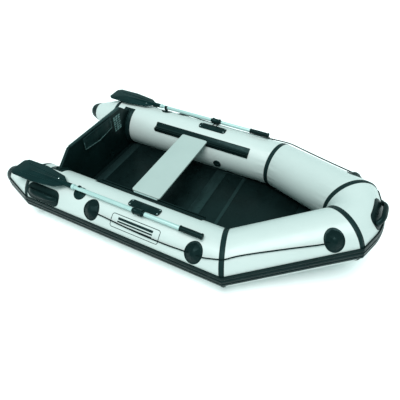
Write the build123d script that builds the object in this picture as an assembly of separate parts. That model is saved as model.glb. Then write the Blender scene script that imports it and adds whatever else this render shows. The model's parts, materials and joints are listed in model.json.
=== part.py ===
"""Inflatable dinghy with a hard transom, board floor, sliding seat and two stowed oars.

Millimetres. +X points to the bow, +Y to port and +Z up. The origin lies on the ground under
the middle of the boat. Port pieces are modelled, and starboard ones are mirrored from them.
"""
from build123d import *
import os
from math import atan2, cos, pi, radians, sin, tan

# Hull: the air tubes
TUBE_R = 205
FABRIC = 1.0
BAND_THICK = 1.5
BAND_WIDTH = 40
AXIS_Y = 611
AXIS_Z = TUBE_R + BAND_THICK
CONE_SEAM_X = -1150
BOW_SEAM_X = 620
NOSE_X = 1325
NOSE_Y = 173.5
NOSE_RISE = 194
NOSE_TURN = 20  # degrees that the nose turns, each side, past its straight end
NOSE_STRAIGHT = 80
CONE_ROUND_X = -1503
CONE_ROUND_R = 77
CAP_THICK = 3
CAP_FRONT_X = -1452
BAFFLE_X = 560

# Rub rail: three ribs with two grooves, glued round the outside of the tubes
RAIL_THICK = 12
RAIL_GROOVE_DEPTH = 5
RAIL_LOW, RAIL_HIGH = -12, 13
RAIL_RIB, RAIL_GROOVE = 6.5, 2.75
RAIL_BACK = 30

# Bottom, keel and floor
BOTTOM_Z = 4
BOTTOM_THICK = 2
BOTTOM_TUCK = 30
KEEL_WIDTH, KEEL_HEIGHT, KEEL_GAP = 180, 28, 0.7
KEEL_START_X, KEEL_END_RUN = -600, 430
FLOOR_Z = 38
BOARD_THICK = 12
BOARD_HALF_WIDTH = 466.5
PROFILE_WALL = 3
FLOOR_START_X, FLOOR_BEND_X, FLOOR_END_X = -965, 612, 930
FLOOR_TAPER_X, FLOOR_TIP_HALF_WIDTH, FLOOR_REACH_X = 560, 242, 1500
JOINERS = {"stern": (-924, -846), "main": (60, 165), "fore": (335, 365)}
STRINGER_START_X, STRINGER_END_X = -900, 350
STRINGER_Y, STRINGER_DEPTH = 470, 18

# Transom
TRANSOM_X = -980
TRANSOM_THICK = 25
TRANSOM_TOP_Z = 516.5
TRANSOM_FOOT_Z, TRANSOM_REACH_Y = 8, 600
SHOULDER_TOP_Y, SHOULDER_FOOT_Y, SHOULDER_FOOT_Z = 375, 510, 403
SHOULDER_FILLET, EDGE_CAP_WALL, EDGE_CAP_DEPTH, EDGE_CAP_HALF = 45, 3, 12, 350
HOLDER_HALF_LENGTH = 60
HOLDER_THICK = 4
HOLDER_LIP_HEIGHT, HOLDER_LIP_THICK = 12, 8
HOLDER_ANGLES, LIP_ANGLES = (105, 248), (110, 243)
PAD_HALF_WIDTH, PAD_TOP_Z, PAD_SIDE_Z, PAD_POINT_Z, PAD_THICK = 200, 500, 385, 362, 10
EYELET_Z, EYELET_R, EYELET_BORE_R, EYELET_FLANGE_R, EYELET_FLANGE = 371, 14, 10, 20, 3
DRAIN_Y, DRAIN_Z, DRAIN_BARREL_R, DRAIN_BORE_R, DRAIN_FLANGE_R = 150, 92, 18, 12.05, 26
DRAIN_FLANGE, DRAIN_PLUG_HEAD_R, DRAIN_PLUG_HEAD, DRAIN_PLUG_REACH = 4, 17, 8, 22
DRAIN_PLUG_GAP = 0.3
PLATE_Y, PLATE_Z, PLATE_WIDTH, PLATE_HEIGHT = 300, 384, 115, 170
PAD_SCREW_R, PAD_SCREW_HEAD, PAD_POCKET_GAP = 6, 3, 0.3
PAD_SCREWS = [(-160, 475), (0, 475), (160, 475), (-160, 415), (160, 415)]

# Seat and its rails
SEAT_X, SEAT_LENGTH, SEAT_WIDTH, SEAT_THICK = -180.5, 263, 874, 16
SEAT_TOP_Z = 371.5
SEAT_RAIL_X = (-633, 360)
SEAT_RAIL_ANGLES = (123, 150)
SEAT_RAIL_THICK = 3
SEAT_CORNER = 18
CHANNEL_Y, CHANNEL_Z, CHANNEL_HEIGHT, CHANNEL_WIDTH = 424, 326, 27, 50
GROOVE_Y, GROOVE_WIDTH, GROOVE_DEPTH = 438.5, 13, 16
TONGUE_WIDTH, TONGUE_CLEARANCE = 8, 2
SLIDER_THICK, SLIDER_INSET, SLIDER_FLANGE = 2, 20, 40

# Oars and rowlocks
OAR_Y, OAR_Z = 684, 440.5
SHAFT_R, SHAFT_WALL = 16.5, 1.5
SHAFT_X = (-750, 455)
GRIP_X, GRIP_R = (280, 465), 21
SOCKET_X, SOCKET_R = (-770, -702), 20
FERRULE_X = (-702, -680)
BLADE_THICK, BLADE_TIP_X, BLADE_SHOULDER_X, BLADE_HALF_WIDTH = 6, -1288, -1050, 100
BLADE_THROAT_X, BLADE_THROAT_HALF_WIDTH = -840, 70
BLADE_FLARE, TIP_RUN, TIP_SLANT, BLADE_CORNER, SPINE_INSET = 4, 35, 30, 20, 120
ROWLOCK_X = -73
BASE_LENGTH, BASE_WIDTH, BASE_THICK, BASE_Y = 278, 75, 8, 600
BASE_ANGLES, BASE_CORNER = (80, 106), 24
ARM_INSET, ARM_DEPTH = 30, 20
PIN_Z, PIN_R, PIN_HEAD_R, PIN_HEAD, KNUCKLE_R, EAR_R = 407.7, 3, 5, 2, 6, 6.5
KNUCKLE_HALF, EAR_THICK, EAR_GAP = 16, 6, 1
SWIVEL_DISC_R, SWIVEL_DISC_THICK, SWIVEL_STUB_R, SWIVEL_STUB_HEIGHT = 14, 5, 5, 6
COLLAR_R, COLLAR_FLANGE_R, COLLAR_HALF, COLLAR_FLANGE, COLLAR_DROP = 24, 29, 36, 7, 25
RUNNING_CLEARANCE, THRUST_GAP, STUB_GAP = 0.05, 0.4, 0.5

# Oar clip
CLIP_X, CLIP_ANGLE, CLIP_PATCH_R, CLIP_HALF = -633, 68, 55, 12
CLIP_WALL, CLIP_GAP, CLIP_FLOOR_GAP = 3, 0.6, 3.2
CLIP_PATCH, CLIP_PATCH_HALF_ANGLE, CLIP_LIP, CLIP_POST = 3, 20, 8, 4

# Handles: a curved plate with a grip bar held on two posts
HANDLE_ANGLE, TOW_HANDLE_ANGLE, HANDLE_HALF_ANGLE = 34, 35, 24
HANDLE_PLATE, HANDLE_WIDTH, HANDLE_CORNER = 4, 140, 56
GRIP_STAND_OFF, GRIP_BAR_R, GRIP_BAR_HALF, POST_HALF, POST_R = 40, 14, 100, 16, 13
CARRY_HANDLE_X, CARRY_HANDLE_HALF = -964, 165
TOW_HANDLE_HALF = 130

# Valves: distance along the tube, angle of the valve on it
VALVE_X, VALVE_ANGLE, BOW_VALVE_RUN = 72, 192, 360
VALVE_FLANGE_R, VALVE_BARREL_R, VALVE_CAP_R = 40, 26, 22
VALVE_STAND, VALVE_DEPTH, VALVE_CAP_THICK, VALVE_CAP_GAP = 6, 26, 7, 0.3
VALVE_RECESS_GAP, VALVE_LIP, VALVE_BAR = 0.5, 8, 4

# Grab line: patches with an eye, and the rope's route through them on the port side
LINE_R = 5.5
PATCH_THICK = 3
EYE_R = 5.9
EYE_STAND_OFF, EYE_BLIND = 16, 12
PATCH_HALF_LENGTH, PATCH_HALF_WIDTH = 70, 86
DOME_FOOT, DOME_TOP = (60, 74), (20, 26)
DOME_DEPTH, PATCH_HEIGHT, PATCH_HALF_ANGLE, PATCH_LIFT_ANGLE = 22, 26, 30, 2
STERN_PATCH_X, STERN_EYE_ANGLE = -475, 41
MIDDLE_PATCH_X, MIDDLE_EYE_ANGLE = 430, 38
BOW_PATCH_RUN, BOW_EYE_ANGLE = 749, 38
LINE_ROUTE = [
    (-470, 777.8, 351.5),
    (-385, 777.8, 351.5),
    (-270, 780.6, 341.9),
    (-140, 784.0, 335.0),
    (-5, 786.7, 330.4),
    (125, 787.3, 329.5),
    (250, 787.1, 331.6),
    (365, 785.2, 342.6),
    (495, 785.2, 342.6),
    (572, 770.9, 358.3),
    (658.9, 751.3, 372.7),
    (714.4, 709.8, 393.8),
    (807.1, 654.4, 415.0),
    (919.4, 592.2, 437.6),
    (1031.9, 530.7, 461.0),
    (1136.7, 475.1, 482.0),
    (1227.8, 427.8, 501.0),
    (1286.6, 391.4, 517.2),
]


class Run:
    """A straight stretch of tube, with the direction that faces outboard in its section."""

    def __init__(self, start, end, outboard):
        self.start = Vector(*start)
        self.end = Vector(*end)
        self.along = (self.end - self.start).normalized()
        self.length = (self.end - self.start).length
        self.plane = Plane(origin=self.start, x_dir=outboard, z_dir=self.along)

    def section(self, distance=0):
        return self.plane.offset(distance)

    def rod(self, radius, before=0, after=0):
        return extrude(self.section(-before) * Circle(radius), self.length + before + after)

    def wrap(self, inner, outer, angles, start, end):
        """A curved plate on the tube, between two radii, two angles and two distances."""
        return extrude(self.section(start) * sector(inner, outer, *angles), end - start)

    def point(self, distance, angle, radius):
        across = Vector(radius * cos(radians(angle)), radius * sin(radians(angle)), distance)
        return self.plane.from_local_coords(across)

    def normal_plane(self, distance, angle, height=0.0):
        """A plane on the tube's skin, its z axis pointing straight out and x along the tube."""
        foot = self.point(distance, angle, TUBE_R + height)
        out = (foot - self.point(distance, angle, 0)).normalized()
        return Plane(origin=foot, x_dir=self.along, z_dir=out)


def carried(outboard, before, after):
    """The outboard direction taken round a bend without twisting."""
    hinge = before.cross(after)
    return outboard.rotate(Axis((0, 0, 0), hinge), before.get_angle(after))


def sector(inner, outer, start, stop):
    """The face between two radii and two angles, in degrees up from outboard."""
    first, middle, last = (
        Vector(cos(radians(angle)), sin(radians(angle)))
        for angle in (start, (start + stop) / 2, stop)
    )
    return make_face([
        ThreePointArc(first * outer, middle * outer, last * outer),
        Line(last * outer, last * inner),
        ThreePointArc(last * inner, middle * inner, first * inner),
        Line(first * inner, first * outer),
    ])


def block(x_range, y_range, z_range):
    size = [high - low for low, high in (x_range, y_range, z_range)]
    middle = [(low + high) / 2 for low, high in (x_range, y_range, z_range)]
    return Pos(*middle) * Box(*size)


def rod_between(start, end, radius):
    axis = Vector(*end) - Vector(*start)
    return extrude(Plane(origin=start, z_dir=axis) * Circle(radius), axis.length)


def both(shape):
    return [shape, mirror(shape, about=Plane.XZ)]


def starboard(shape):
    return mirror(shape, about=Plane.XZ)


# Tube runs on the port side, and the planes where they meet
side_start = Vector(CONE_SEAM_X, AXIS_Y, AXIS_Z)
bow_start = Vector(BOW_SEAM_X, AXIS_Y, AXIS_Z)
nose_start = Vector(NOSE_X, NOSE_Y, AXIS_Z + NOSE_RISE)
nose_along = Vector(sin(radians(NOSE_TURN)), -cos(radians(NOSE_TURN)), 0)
nose_turn_start = nose_start + nose_along * NOSE_STRAIGHT
side = Run(side_start, bow_start, (0, 1, 0))
bow_along = (nose_start - bow_start).normalized()
bow = Run(bow_start, nose_start, carried(Vector(0, 1, 0), side.along, bow_along))
nose = Run(nose_start, nose_turn_start, carried(bow.plane.x_dir, bow.along, nose_along))
nose_bend_r = nose_turn_start.Y / sin(radians(NOSE_TURN))
nose_bend_x = nose_turn_start.X - nose_bend_r * cos(radians(NOSE_TURN))
nose_bend_axis = Axis((nose_bend_x, 0, 0), (0, 0, 1))
nose_middle = Vector(nose_bend_x + nose_bend_r, 0, nose_start.Z)
nose_front_out = nose.plane.x_dir.rotate(Axis.Z, -NOSE_TURN)
nose_front = Run(nose_middle, nose_middle - Vector(0, NOSE_Y, 0), nose_front_out)
cone_seam = Plane(origin=side_start, z_dir=side.along)
bow_seam = Plane(origin=bow_start, z_dir=side.along + bow.along)
nose_seam = Plane(origin=nose_start, z_dir=bow.along + nose.along)
BOW_SLOPE = NOSE_RISE / (NOSE_X - BOW_SEAM_X)
HALF_SPAN = AXIS_Y + TUBE_R


def ahead_of(plane, shape):
    return split(shape, bisect_by=plane, keep=Keep.TOP)


def behind(plane, shape):
    return split(shape, bisect_by=plane, keep=Keep.BOTTOM)


# Air tubes, as solid rods between their seams and as fabric shells


def side_rod(radius):
    return behind(bow_seam, side.rod(radius, after=TUBE_R))


def bow_rod(radius):
    return behind(nose_seam, ahead_of(bow_seam, bow.rod(radius, before=TUBE_R, after=TUBE_R)))


def nose_strip(face):
    """A section carried along the nose: straight from each seam, then round the front."""
    straight = extrude(nose.section(-TUBE_R) * face, TUBE_R + NOSE_STRAIGHT)
    turned = revolve(nose.section(NOSE_STRAIGHT) * face, nose_bend_axis, -2 * NOSE_TURN)
    straight = ahead_of(nose_seam, straight)
    return straight + turned + starboard(straight)


def nose_rod(radius):
    return nose_strip(Circle(radius))


def cone_solid(grow):
    """The tapered stern end: a cone that runs into a ball, grown outwards by a given amount."""
    run = CONE_SEAM_X - CONE_ROUND_X
    taper = atan2(TUBE_R - CONE_ROUND_R, run)
    ball_r = CONE_ROUND_R / cos(taper)
    ball_x = ball_r * sin(taper) - run
    ball_r += grow

    def on_ball(angle):
        return (ball_x - ball_r * sin(angle), ball_r * cos(angle))

    seam = (0, TUBE_R + grow / cos(taper))
    shoulder, middle, tip = (on_ball(angle) for angle in (taper, (taper + pi / 2) / 2, pi / 2))
    outline = [
        Line((0, 0), seam),
        Line(seam, shoulder),
        ThreePointArc(shoulder, middle, tip),
        Line(tip, (0, 0)),
    ]
    return Pos(*side_start) * revolve(make_face(outline), axis=Axis.X)


side_valve = side.normal_plane(VALVE_X - CONE_SEAM_X, VALVE_ANGLE)
bow_valve = bow.normal_plane(BOW_VALVE_RUN, VALVE_ANGLE)


def valve_hole(plane):
    return extrude(plane * Circle(VALVE_BARREL_R), VALVE_STAND, both=True)


def side_tube():
    shell = side_rod(TUBE_R) - side_rod(TUBE_R - FABRIC)
    return shell - valve_hole(side_valve)


def bow_tube(valved):
    shell = bow_rod(TUBE_R) - bow_rod(TUBE_R - FABRIC)
    return shell - valve_hole(bow_valve) if valved else shell


def baffle():
    """The wall between two air chambers, a fabric disc inside the side tube."""
    return extrude(side.section(BAFFLE_X - CONE_SEAM_X) * Circle(TUBE_R - FABRIC), FABRIC)


def tip_cap():
    cap = cone_solid(CAP_THICK) - cone_solid(0)
    return behind(Plane(origin=(CAP_FRONT_X, 0, 0), z_dir=(1, 0, 0)), cap)


# Rub rail


def rail_face(inner):
    base = TUBE_R + RAIL_THICK - RAIL_GROOVE_DEPTH
    face = sector(inner, base, RAIL_LOW, RAIL_HIGH)
    for rib in range(3):
        low = RAIL_LOW + rib * (RAIL_RIB + RAIL_GROOVE)
        face += sector(base, TUBE_R + RAIL_THICK, low, low + RAIL_RIB)
    return face


def cone_rail():
    """The rail runs straight down the cone's outboard edge, its back shaped to the cone."""
    reach = CAP_FRONT_X - CONE_SEAM_X
    inward = (TUBE_R - CONE_ROUND_R) * reach / (CONE_SEAM_X - CONE_ROUND_X)
    path = Vector(reach, inward, 0)
    face = side.section() * rail_face(TUBE_R - RAIL_BACK)
    return extrude(face, path.length, dir=path.normalized()) - cone_solid(0)


def side_rail():
    return behind(bow_seam, extrude(side.section() * rail_face(TUBE_R), side.length + TUBE_R))


def bow_rail():
    strip = extrude(bow.section(-TUBE_R) * rail_face(TUBE_R), bow.length + 2 * TUBE_R)
    return behind(nose_seam, ahead_of(bow_seam, strip))


# Seam bands: fabric strips round the tubes over each seam


def seam_band(plane, first, second, gaps):
    """A ring centred on a seam plane, broken by the pieces in gaps; first and second make rods."""
    slab = extrude(plane * Rectangle(3 * TUBE_R, 3 * TUBE_R), BAND_WIDTH / 2, both=True)
    ring = (first(TUBE_R + BAND_THICK) & slab) + (second(TUBE_R + BAND_THICK) & slab)
    ring = ring - first(TUBE_R) - second(TUBE_R)
    for piece in gaps:
        ring -= piece
    return ring


def cone_rod(radius):
    return cone_solid(radius - TUBE_R)


# Bottom, keel and floor


def hull_cut(shape):
    """Take away whatever lies inside the air tubes of either side."""
    for rod in (side_rod(TUBE_R), bow_rod(TUBE_R)):
        for each in both(rod):
            shape -= each
    return shape - nose_rod(TUBE_R)


def bottom_panel():
    reach = AXIS_Y - BOTTOM_TUCK
    sheet = block(
        (TRANSOM_X - TRANSOM_THICK, BOW_SEAM_X), (-reach, reach), (BOTTOM_Z, BOTTOM_Z + BOTTOM_THICK)
    )
    return hull_cut(sheet)


def mirrored_face(half):
    """A face from one side's outline points, listed from the middle line round to it again."""
    other = [(x, -y) for x, y in reversed(half)]
    return make_face(Polyline(*half, *other, close=True))


def sloped_sheet(z_low, thick, face):
    """A sheet rising towards the nose with the bow tubes, trimmed to a plan outline."""
    rise = (FLOOR_REACH_X - BOW_SEAM_X) * BOW_SLOPE
    profile = Polyline(
        (BOW_SEAM_X, z_low),
        (FLOOR_REACH_X, z_low + rise),
        (FLOOR_REACH_X, z_low + rise + thick),
        (BOW_SEAM_X, z_low + thick),
        close=True,
    )
    wedge = extrude(Plane.XZ * make_face(profile), HALF_SPAN, both=True)
    return wedge & extrude(face, 3 * TUBE_R)


def bow_bottom_panel():
    outline = mirrored_face([
        (BOW_SEAM_X, AXIS_Y - BOTTOM_TUCK),
        (NOSE_X - BOTTOM_TUCK, NOSE_Y),
    ])
    return hull_cut(sloped_sheet(BOTTOM_Z, BOTTOM_THICK, outline))


def keel_tube():
    """An inflatable cushion along the middle, between the bottom and the floor boards."""
    height = BOTTOM_Z + BOTTOM_THICK + KEEL_HEIGHT / 2 + KEEL_GAP
    bend = Vector(BOW_SEAM_X, 0, height)
    front = bend + Vector(KEEL_END_RUN, 0, KEEL_END_RUN * BOW_SLOPE)
    main = Run((KEEL_START_X, 0, height), bend, (0, 1, 0))
    rising = Run(bend, front, (0, 1, 0))
    mitre = Plane(origin=bend, z_dir=main.along + rising.along)
    oval = Ellipse(KEEL_WIDTH / 2, KEEL_HEIGHT / 2)
    aft = behind(mitre, extrude(main.section() * oval, main.length + KEEL_HEIGHT))
    forward = ahead_of(mitre, extrude(rising.section(-KEEL_HEIGHT) * oval, rising.length))
    return aft + forward


def web_middle(name):
    low, high = JOINERS[name]
    return (low + high) / 2


def floor_board(start, end):
    z_range = (FLOOR_Z, FLOOR_Z + BOARD_THICK)
    return block((start, end), (-BOARD_HALF_WIDTH, BOARD_HALF_WIDTH), z_range)


def bow_board():
    """The foremost board: level at first, then bent up to follow the rising bow."""
    start = web_middle("fore") + PROFILE_WALL / 2
    flat = Polyline(
        (start, FLOOR_Z),
        (FLOOR_BEND_X, FLOOR_Z),
        (FLOOR_END_X, FLOOR_Z + (FLOOR_END_X - FLOOR_BEND_X) * BOW_SLOPE),
        (FLOOR_END_X, FLOOR_Z + BOARD_THICK + (FLOOR_END_X - FLOOR_BEND_X) * BOW_SLOPE),
        (FLOOR_BEND_X, FLOOR_Z + BOARD_THICK),
        (start, FLOOR_Z + BOARD_THICK),
        close=True,
    )
    board = extrude(Plane.XZ * make_face(flat), BOARD_HALF_WIDTH, both=True)
    plan = mirrored_face([
        (start, BOARD_HALF_WIDTH),
        (FLOOR_TAPER_X, BOARD_HALF_WIDTH),
        (FLOOR_END_X, FLOOR_TIP_HALF_WIDTH),
    ])
    return board & extrude(plan, 2 * TUBE_R)


def joiner(name):
    """A crosswise H-section profile that holds two boards edge to edge."""
    low, high = JOINERS[name]
    half = STRINGER_Y - STRINGER_DEPTH - 1
    top = FLOOR_Z + BOARD_THICK
    middle = web_middle(name)
    web = (middle - PROFILE_WALL / 2, middle + PROFILE_WALL / 2)
    return (
        block((low, high), (-half, half), (top, top + PROFILE_WALL))
        + block((low, high), (-half, half), (FLOOR_Z - PROFILE_WALL, FLOOR_Z))
        + block(web, (-half, half), (FLOOR_Z, top))
    )


def stringer():
    """A U-section profile along the edge of the level floor boards."""
    top = FLOOR_Z + BOARD_THICK
    inner = STRINGER_Y - STRINGER_DEPTH
    x_range = (STRINGER_START_X, STRINGER_END_X)
    outer = block(x_range, (inner, STRINGER_Y), (FLOOR_Z - PROFILE_WALL, top + PROFILE_WALL))
    return outer - block(x_range, (inner, STRINGER_Y - PROFILE_WALL), (FLOOR_Z, top))


# Transom


def on_transom(x, face):
    """A face drawn as seen from the bow (y across, z up), placed crosswise at x."""
    return Plane(origin=(x, 0, 0), x_dir=(0, 1, 0), z_dir=(1, 0, 0)) * face


def transom_face():
    half = [
        (SHOULDER_TOP_Y, TRANSOM_TOP_Z),
        (SHOULDER_FOOT_Y, SHOULDER_FOOT_Z),
        (TRANSOM_REACH_Y, SHOULDER_FOOT_Z),
        (TRANSOM_REACH_Y, TRANSOM_FOOT_Z),
    ]
    other = [(-y, z) for y, z in reversed(half)]
    face = make_face(Polyline(*half, *other, close=True))
    shoulders = [
        corner for corner in face.vertices()
        if corner.Y > TRANSOM_FOOT_Z + 1 and abs(corner.X) < TRANSOM_REACH_Y - 1
    ]
    return fillet(shoulders, SHOULDER_FILLET)


def transom_board():
    board = extrude(on_transom(TRANSOM_X - TRANSOM_THICK, transom_face()), TRANSOM_THICK)
    for tube in both(side.rod(TUBE_R + HOLDER_THICK)):
        board -= tube
    for y, z, radius in ((0, EYELET_Z, EYELET_R), (DRAIN_Y, DRAIN_Z, DRAIN_BARREL_R)):
        board -= rod_between((TRANSOM_X - 2 * TRANSOM_THICK, y, z), (0, y, z), radius)
    return board


def transom_holder():
    """The fabric strip on the tube that the transom's end is glued into, with a lip each side."""
    middle = TRANSOM_X - TRANSOM_THICK / 2 - CONE_SEAM_X
    half_board = TRANSOM_THICK / 2
    skin = TUBE_R + HOLDER_THICK
    strip = side.wrap(
        TUBE_R, skin, HOLDER_ANGLES, middle - HOLDER_HALF_LENGTH, middle + HOLDER_HALF_LENGTH
    )
    for near_edge in (middle - half_board - HOLDER_LIP_THICK, middle + half_board):
        lip_end = near_edge + HOLDER_LIP_THICK
        strip += side.wrap(skin, skin + HOLDER_LIP_HEIGHT, LIP_ANGLES, near_edge, lip_end)
    return strip


def pad(x):
    half = [(PAD_HALF_WIDTH, PAD_TOP_Z), (PAD_HALF_WIDTH, PAD_SIDE_Z), (0, PAD_POINT_Z)]
    other = [(-y, z) for y, z in reversed(half[:2])]
    face = make_face(Polyline(*half, *other, close=True))
    plate = extrude(on_transom(x, face), PAD_THICK)
    hole_ends = [(x + reach, 0, EYELET_Z) for reach in (-PAD_THICK, 2 * PAD_THICK)]
    return plate - rod_between(*hole_ends, EYELET_FLANGE_R + 1)


def inner_pad():
    plate = pad(TRANSOM_X)
    for head in pad_screws(PAD_SCREW_R + PAD_POCKET_GAP):
        plate -= head
    return plate


def edge_cap():
    x_range = (TRANSOM_X - TRANSOM_THICK - EDGE_CAP_WALL, TRANSOM_X + EDGE_CAP_WALL)
    z_range = (TRANSOM_TOP_Z - EDGE_CAP_DEPTH, TRANSOM_TOP_Z + EDGE_CAP_WALL)
    cap = block(x_range, (-EDGE_CAP_HALF, EDGE_CAP_HALF), z_range)
    slot = block(
        (TRANSOM_X - TRANSOM_THICK, TRANSOM_X), (-EDGE_CAP_HALF, EDGE_CAP_HALF), (0, TRANSOM_TOP_Z)
    )
    return cap - slot


def tube_fitting(y, z, radius, bore, flange_r, flange, back, front):
    """A flanged sleeve through the transom, from back to front along x."""
    sleeve = rod_between((back, y, z), (front, y, z), radius)
    sleeve += rod_between((back, y, z), (back + flange, y, z), flange_r)
    sleeve += rod_between((front - flange, y, z), (front, y, z), flange_r)
    return sleeve - rod_between((back - 1, y, z), (front + 1, y, z), bore)


def safety_eyelet():
    back = TRANSOM_X - TRANSOM_THICK - EYELET_FLANGE
    front = TRANSOM_X + EYELET_FLANGE
    return tube_fitting(
        0, EYELET_Z, EYELET_R, EYELET_BORE_R, EYELET_FLANGE_R, EYELET_FLANGE, back, front
    )


def drain_body():
    back = TRANSOM_X - TRANSOM_THICK - DRAIN_FLANGE
    front = TRANSOM_X + DRAIN_FLANGE
    return tube_fitting(
        DRAIN_Y, DRAIN_Z, DRAIN_BARREL_R, DRAIN_BORE_R, DRAIN_FLANGE_R, DRAIN_FLANGE, back, front
    )


def drain_plug():
    seat = TRANSOM_X - TRANSOM_THICK - DRAIN_FLANGE - DRAIN_PLUG_GAP
    head = rod_between(
        (seat - DRAIN_PLUG_HEAD, DRAIN_Y, DRAIN_Z), (seat, DRAIN_Y, DRAIN_Z), DRAIN_PLUG_HEAD_R
    )
    shank_r = DRAIN_BORE_R - RUNNING_CLEARANCE
    return head + rod_between(
        (seat, DRAIN_Y, DRAIN_Z), (seat + DRAIN_PLUG_REACH, DRAIN_Y, DRAIN_Z), shank_r
    )


def pad_screws(radius):
    """The screw heads, sunk flush into the inner pad."""
    front = TRANSOM_X + PAD_THICK
    heads = []
    for y, z in PAD_SCREWS:
        heads.append(rod_between((front - PAD_SCREW_HEAD, y, z), (front, y, z), radius))
    return heads


def rating_plate():
    return block(
        (TRANSOM_X, TRANSOM_X + 1),
        (PLATE_Y - PLATE_WIDTH / 2, PLATE_Y + PLATE_WIDTH / 2),
        (PLATE_Z - PLATE_HEIGHT / 2, PLATE_Z + PLATE_HEIGHT / 2),
    )


# Seat


def seat_rail():
    start, end = (x - CONE_SEAM_X for x in SEAT_RAIL_X)
    skin = TUBE_R + SEAT_RAIL_THICK
    strip = side.wrap(TUBE_R, skin, SEAT_RAIL_ANGLES, start, end)
    top = CHANNEL_Z + CHANNEL_HEIGHT
    channel = block(SEAT_RAIL_X, (CHANNEL_Y, CHANNEL_Y + CHANNEL_WIDTH), (CHANNEL_Z, top))
    groove_y = (GROOVE_Y - GROOVE_WIDTH / 2, GROOVE_Y + GROOVE_WIDTH / 2)
    channel -= block(SEAT_RAIL_X, groove_y, (top - GROOVE_DEPTH, top))
    return strip + (channel - side.rod(skin))


def seat_board():
    board = Pos(SEAT_X, 0, SEAT_TOP_Z - SEAT_THICK / 2) * Box(SEAT_LENGTH, SEAT_WIDTH, SEAT_THICK)
    return fillet(board.edges().filter_by(Axis.Z), SEAT_CORNER)


def seat_slider():
    """An angle under the seat's end whose tongue hangs in the rail's groove."""
    half = SEAT_LENGTH / 2 - SLIDER_INSET
    x_range = (SEAT_X - half, SEAT_X + half)
    top = SEAT_TOP_Z - SEAT_THICK
    tongue = (GROOVE_Y - TONGUE_WIDTH / 2, GROOVE_Y + TONGUE_WIDTH / 2)
    foot = CHANNEL_Z + CHANNEL_HEIGHT - GROOVE_DEPTH + TONGUE_CLEARANCE
    flange = block(x_range, (tongue[1] - SLIDER_FLANGE, tongue[1]), (top - SLIDER_THICK, top))
    return flange + block(x_range, tongue, (foot, top - SLIDER_THICK))


# Rowlocks: a base on the tube, a cradle that tilts on a fore-and-aft pin, and the oar's collar


def rowlock_base():
    start = ROWLOCK_X - BASE_LENGTH / 2 - CONE_SEAM_X
    plate = side.wrap(TUBE_R, TUBE_R + BASE_THICK, BASE_ANGLES, start, start + BASE_LENGTH)
    middle = Plane(origin=(ROWLOCK_X, BASE_Y, AXIS_Z))
    outline = middle * RectangleRounded(BASE_LENGTH, BASE_WIDTH, BASE_CORNER)
    plate &= extrude(outline, 2 * TUBE_R)
    for way in (-1, 1):
        inner = ROWLOCK_X + way * (KNUCKLE_HALF + EAR_GAP)
        outer = inner + way * EAR_THICK
        x_range = (min(inner, outer), max(inner, outer))
        arm = block(x_range, (BASE_Y + ARM_INSET, OAR_Y), (PIN_Z - ARM_DEPTH, PIN_Z + EAR_R))
        arm += rod_between((inner, OAR_Y, PIN_Z), (outer, OAR_Y, PIN_Z), EAR_R)
        plate += arm - side.rod(TUBE_R)
    bore_ends = [(ROWLOCK_X + way * BASE_LENGTH, OAR_Y, PIN_Z) for way in (-1, 1)]
    return plate - rod_between(*bore_ends, PIN_R)


def tilt_pin():
    half = KNUCKLE_HALF + EAR_GAP + EAR_THICK
    pin = rod_between((ROWLOCK_X - half, OAR_Y, PIN_Z), (ROWLOCK_X + half, OAR_Y, PIN_Z), PIN_R)
    for way in (-1, 1):
        inner = ROWLOCK_X + way * half
        outer = inner + way * PIN_HEAD
        pin += rod_between((inner, OAR_Y, PIN_Z), (outer, OAR_Y, PIN_Z), PIN_HEAD_R)
    return pin


def cradle():
    """The block that tilts on the pin and carries the collar on an upright stub."""
    ends = [(ROWLOCK_X + way * KNUCKLE_HALF, OAR_Y, PIN_Z) for way in (-1, 1)]
    top = OAR_Z - COLLAR_DROP - THRUST_GAP
    body = rod_between(*ends, KNUCKLE_R)
    body += rod_between(
        (ROWLOCK_X, OAR_Y, top - SWIVEL_DISC_THICK), (ROWLOCK_X, OAR_Y, top), SWIVEL_DISC_R
    )
    body += rod_between(
        (ROWLOCK_X, OAR_Y, top), (ROWLOCK_X, OAR_Y, top + SWIVEL_STUB_HEIGHT), SWIVEL_STUB_R
    )
    return body - rod_between(*ends, PIN_R + RUNNING_CLEARANCE)


def oar_rod(start, end, radius):
    return rod_between((start, OAR_Y, OAR_Z), (end, OAR_Y, OAR_Z), radius)


def collar():
    """A spool clamped on the shaft, flat below where it sits on the cradle's stub."""
    low, high = ROWLOCK_X - COLLAR_HALF, ROWLOCK_X + COLLAR_HALF
    spool = oar_rod(low, high, COLLAR_R)
    spool += oar_rod(low, low + COLLAR_FLANGE, COLLAR_FLANGE_R)
    spool += oar_rod(high - COLLAR_FLANGE, high, COLLAR_FLANGE_R)
    foot = OAR_Z - COLLAR_DROP
    spool -= Pos(ROWLOCK_X, OAR_Y, foot - TUBE_R / 2) * Box(TUBE_R, TUBE_R, TUBE_R)
    spool -= rod_between(
        (ROWLOCK_X, OAR_Y, foot - 1),
        (ROWLOCK_X, OAR_Y, foot + SWIVEL_STUB_HEIGHT + STUB_GAP),
        SWIVEL_STUB_R + RUNNING_CLEARANCE,
    )
    return spool - oar_rod(low - 1, high + 1, SHAFT_R)


# Oars


def oar_shaft():
    return oar_rod(*SHAFT_X, SHAFT_R) - oar_rod(*SHAFT_X, SHAFT_R - SHAFT_WALL)


def oar_grip():
    return oar_rod(*GRIP_X, GRIP_R) - oar_rod(GRIP_X[0], SHAFT_X[1], SHAFT_R)


def oar_ferrule():
    return oar_rod(*FERRULE_X, SOCKET_R + 1) - oar_rod(*FERRULE_X, SHAFT_R)


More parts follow.
